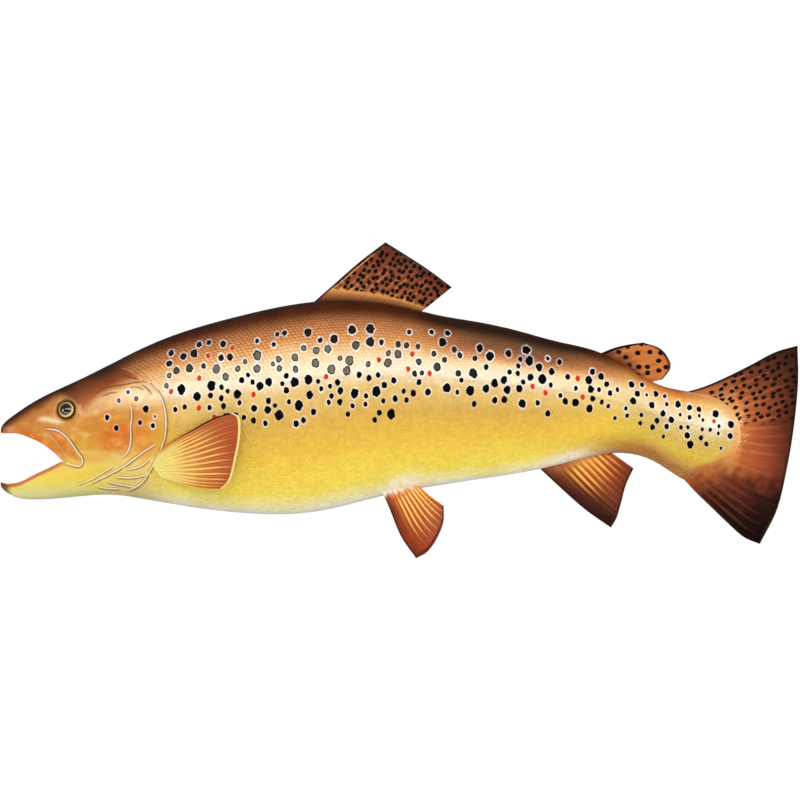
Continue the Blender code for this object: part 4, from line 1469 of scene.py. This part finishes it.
def eye_paint():
    paint = Paint("eye_glass_paint")
    ring, _, _ = paint.marks("ring")
    rough_ring = ring + (paint.noise(1.5, 2.0) - 0.5) * 0.05
    colour = rough_ring.stops(
        (0.0, 8, 8, 10), (0.47, 10, 9, 10), (0.51, 112, 94, 62), (0.55, 50, 38, 22),
        (0.59, 14, 11, 8), (0.68, 22, 16, 10), (0.73, 196, 160, 82), (0.80, 228, 204, 128),
        (0.89, 206, 174, 96), (0.94, 44, 28, 14), (1.0, 14, 9, 6),
    )  # fmt: skip
    return paint.finish(colour, 0.2, coat_roughness=0.01, coat_ior=1.7)


def tongue_paint():
    paint = Paint("tongue_paint")
    colour = paint.mix(paint.noise(4.0, 3.0).fade(0.3, 0.7), (206, 138, 112), (226, 168, 138))
    return paint.finish(colour, 0.4, paint.noise(1.0, 2.0), 0.0004, 0.5)


def wood_paint():
    paint = Paint("hanger_wood_paint")
    _, _, z = paint.parts(paint.where())
    rings = (paint.noise(30.0, 3.0, stretch=(0.12, 1.0, 1.0)) * 26 + z * 260).wave()
    fibres = paint.noise(1.6, 3.0, stretch=(0.05, 1.0, 1.0))
    colour = paint.mix(rings.fade(-0.9, 0.9) * 0.6 + fibres * 0.4, (182, 142, 96), (138, 98, 60))
    return paint.finish(colour, 0.55 + fibres * 0.2, fibres, 0.0004, 0.5, coat=0.15, coat_roughness=0.35)


def ground_paint():
    paint = Paint("floor_paint")
    colour = paint.mix(paint.noise(400.0), (208, 208, 208), (216, 216, 216))
    return paint.finish(colour, 0.7, coat=0.0)


# Each fin's paint, by the node without its side.
FIN_PAINTS = {
    "dorsal_fin": fin_paint(
        "dorsal_paint",
        [(0.0, [(0.0, 60, 32, 20), (0.11, 66, 35, 21), (0.17, 120, 66, 37), (0.23, 158, 96, 52),
                (0.31, 204, 142, 80), (0.345, 196, 130, 70), (0.375, 140, 74, 41), (0.48, 130, 65, 36),
                (0.8, 116, 56, 31), (1.0, 88, 40, 23)])],
        14, (206, 134, 82), 0.5, spots=(5.6, 0.6, 2.0, 0.31, 1.5, 0.1, 55, 1.15), edge=(40, 18, 10),
        lead=(220, 160, 104), teeth=0.08, start=(0.3, 0.42), shine=0.25,
    ),
    "adipose_fin": fin_paint(
        "adipose_paint",
        [(0.0, [(0.0, 80, 38, 22), (0.22, 132, 66, 36), (0.4, 178, 102, 50), (0.8, 194, 114, 54),
                (1.0, 176, 92, 46)])],
        6, (214, 146, 80), 0.3, spots=(8.6, 0.75, 2.3, 0.16, 1.5, 0.1, 0, 1.15), edge=(34, 16, 8),
        edge_wide=0.045,
    ),
    "anal_fin": fin_paint(
        "anal_paint",
        [(0.0, [(0.0, 170, 116, 76), (0.1, 112, 56, 32), (0.25, 74, 32, 19), (0.5, 50, 20, 12),
                (1.0, 34, 13, 8)]),
         (0.25, [(0.0, 230, 204, 160), (0.1, 176, 108, 62), (0.25, 122, 60, 32), (0.5, 86, 36, 21),
                 (0.7, 64, 26, 15), (1.0, 42, 16, 10)]),
         (0.6, [(0.0, 238, 222, 184), (0.15, 206, 140, 74), (0.35, 178, 96, 46), (0.7, 134, 58, 32),
                (1.0, 80, 32, 19)]),
         (0.98, [(0.0, 170, 98, 50), (0.25, 164, 82, 42), (0.6, 140, 62, 34), (1.0, 92, 38, 22)])],
        11, (246, 176, 76), 0.9, (0.26, 0.78), (0.4, 0.8), 0.2, edge=(52, 20, 12), edge_wide=0.02,
        even=(0.24, 0.5), start=(0.14, 0.3), furrow=0.5, shine=0.35,
    ),
    "tail_fin": fin_paint(
        "tail_paint",
        [(0.0, [(0.0, 178, 100, 52), (0.3, 146, 78, 43), (0.5, 106, 53, 32), (0.75, 74, 36, 23),
                (1.0, 44, 20, 13)]),
         (0.35, [(0.0, 236, 190, 120), (0.37, 222, 154, 88), (0.44, 184, 100, 52), (0.6, 150, 75, 40),
                 (0.78, 112, 52, 31), (0.9, 84, 38, 23), (1.0, 56, 25, 16)]),
         (0.6, [(0.0, 226, 172, 100), (0.34, 206, 134, 70), (0.42, 170, 90, 47), (0.6, 156, 76, 42),
                (0.8, 126, 56, 33), (1.0, 76, 34, 21)]),
         (0.78, [(0.0, 190, 114, 56), (0.15, 158, 86, 44), (0.3, 110, 53, 31), (0.55, 78, 33, 20),
                 (0.75, 42, 17, 10), (1.0, 24, 9, 6)]),
         (0.95, [(0.0, 176, 96, 46), (0.12, 128, 62, 33), (0.3, 58, 23, 13), (0.5, 26, 10, 6),
                 (1.0, 12, 4, 3)])],
        20, (214, 128, 68), 0.35, (-1.0, 0.56), spots=(6.2, 0.6, 1.8, 0.16, 0.34, 0.07, 24, 1.45),
        edge=(34, 15, 8), edge_wide=0.008, glints=(0.42, 0.52),
    ),
    "pelvic_fin": fin_paint(
        "pelvic_paint",
        [(0.0, [(0.0, 240, 232, 218), (0.17, 238, 224, 202), (0.24, 128, 60, 32), (0.4, 92, 36, 20),
                (0.7, 128, 50, 25), (1.0, 106, 43, 21)]),
         (0.35, [(0.0, 240, 232, 218), (0.17, 240, 224, 196), (0.25, 192, 98, 42), (0.7, 158, 66, 29),
                 (1.0, 144, 60, 30)]),
         (0.95, [(0.0, 240, 232, 218), (0.17, 240, 218, 176), (0.28, 210, 132, 56), (0.7, 182, 94, 39),
                 (1.0, 140, 60, 30)])],
        10, (248, 194, 100), 0.9, (0.26, 1.2), (0.6, 0.95), 0.35, edge=(84, 34, 20), edge_wide=0.03,
        even=(0.2, 0.44), start=(0.2, 0.34), furrow=0.6, shine=0.35, edge_from=(0.24, 0.36),
    ),
    "pectoral_fin": fin_paint(
        "pectoral_paint",
        [(0.0, [(0.0, 214, 180, 100), (0.12, 186, 116, 56), (0.3, 172, 90, 44), (1.0, 164, 74, 36)]),
         (0.2, [(0.0, 224, 208, 120), (0.24, 222, 198, 110), (0.38, 194, 124, 60), (0.7, 172, 84, 40),
                (1.0, 160, 70, 36)]),
         (0.9, [(0.0, 226, 212, 122), (0.34, 222, 198, 108), (0.52, 200, 132, 62), (0.8, 180, 90, 42),
                (1.0, 162, 76, 38)])],
        15, (240, 190, 98), 0.95, (0.06, 1.2), (0.6, 0.95), 0.6, edge=(36, 16, 8), edge_wide=0.03,
        edge_from=(0.25, 0.6), lead=(216, 132, 74), rim=(228, 204, 128), even=(0.16, 0.4),
        start=(0.14, 0.34), furrow=0.55, shine=0.4,
    ),
}  # fmt: skip


# ---------------------------------------------------------------- putting the fish together

skin = build_skin()
scales = [build_scales("scales_left", -1), build_scales("scales_right", 1)]
for piece in (skin, *scales):
    mark_spots(piece)
mark_creases(skin)
fins = build_fins()
eyes = [build_eye("eyeball_left", -1), build_eye("eyeball_right", 1)]
tongue = build_tongue()


def dress(piece, paint, slot, *nodes):
    """Paints a piece, hangs it on the root and hides the nodes that it replaces; slot is not used."""
    piece.data.materials.clear()
    piece.data.materials.append(paint)
    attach(piece, "root")
    if nodes:
        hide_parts(*nodes)


dress(
    skin, body_paint("body_skin_paint", False), "body_skin", "head", "lower_jaw", "trunk", "tail_stem",
    "gill_cover_left", "gill_cover_right", "maxilla_left", "maxilla_right",
)  # fmt: skip
scale_paint = body_paint("scale_paint", True)
for piece in scales:
    dress(piece, scale_paint, "body_skin")
for node, piece in fins.items():
    kind = node.replace("_left", "").replace("_right", "")
    dress(piece, FIN_PAINTS[kind], "fin_skin", node)
glass = eye_paint()
for piece, node in zip(eyes, ("eye_left", "eye_right")):
    dress(piece, glass, "eye_glass", node)
dress(tongue, tongue_paint(), "mouth_lining", "tongue")
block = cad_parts["hanger_block"]
block.data.materials.clear()
block.data.materials.append(wood_paint())

floor.data.materials.append(ground_paint())
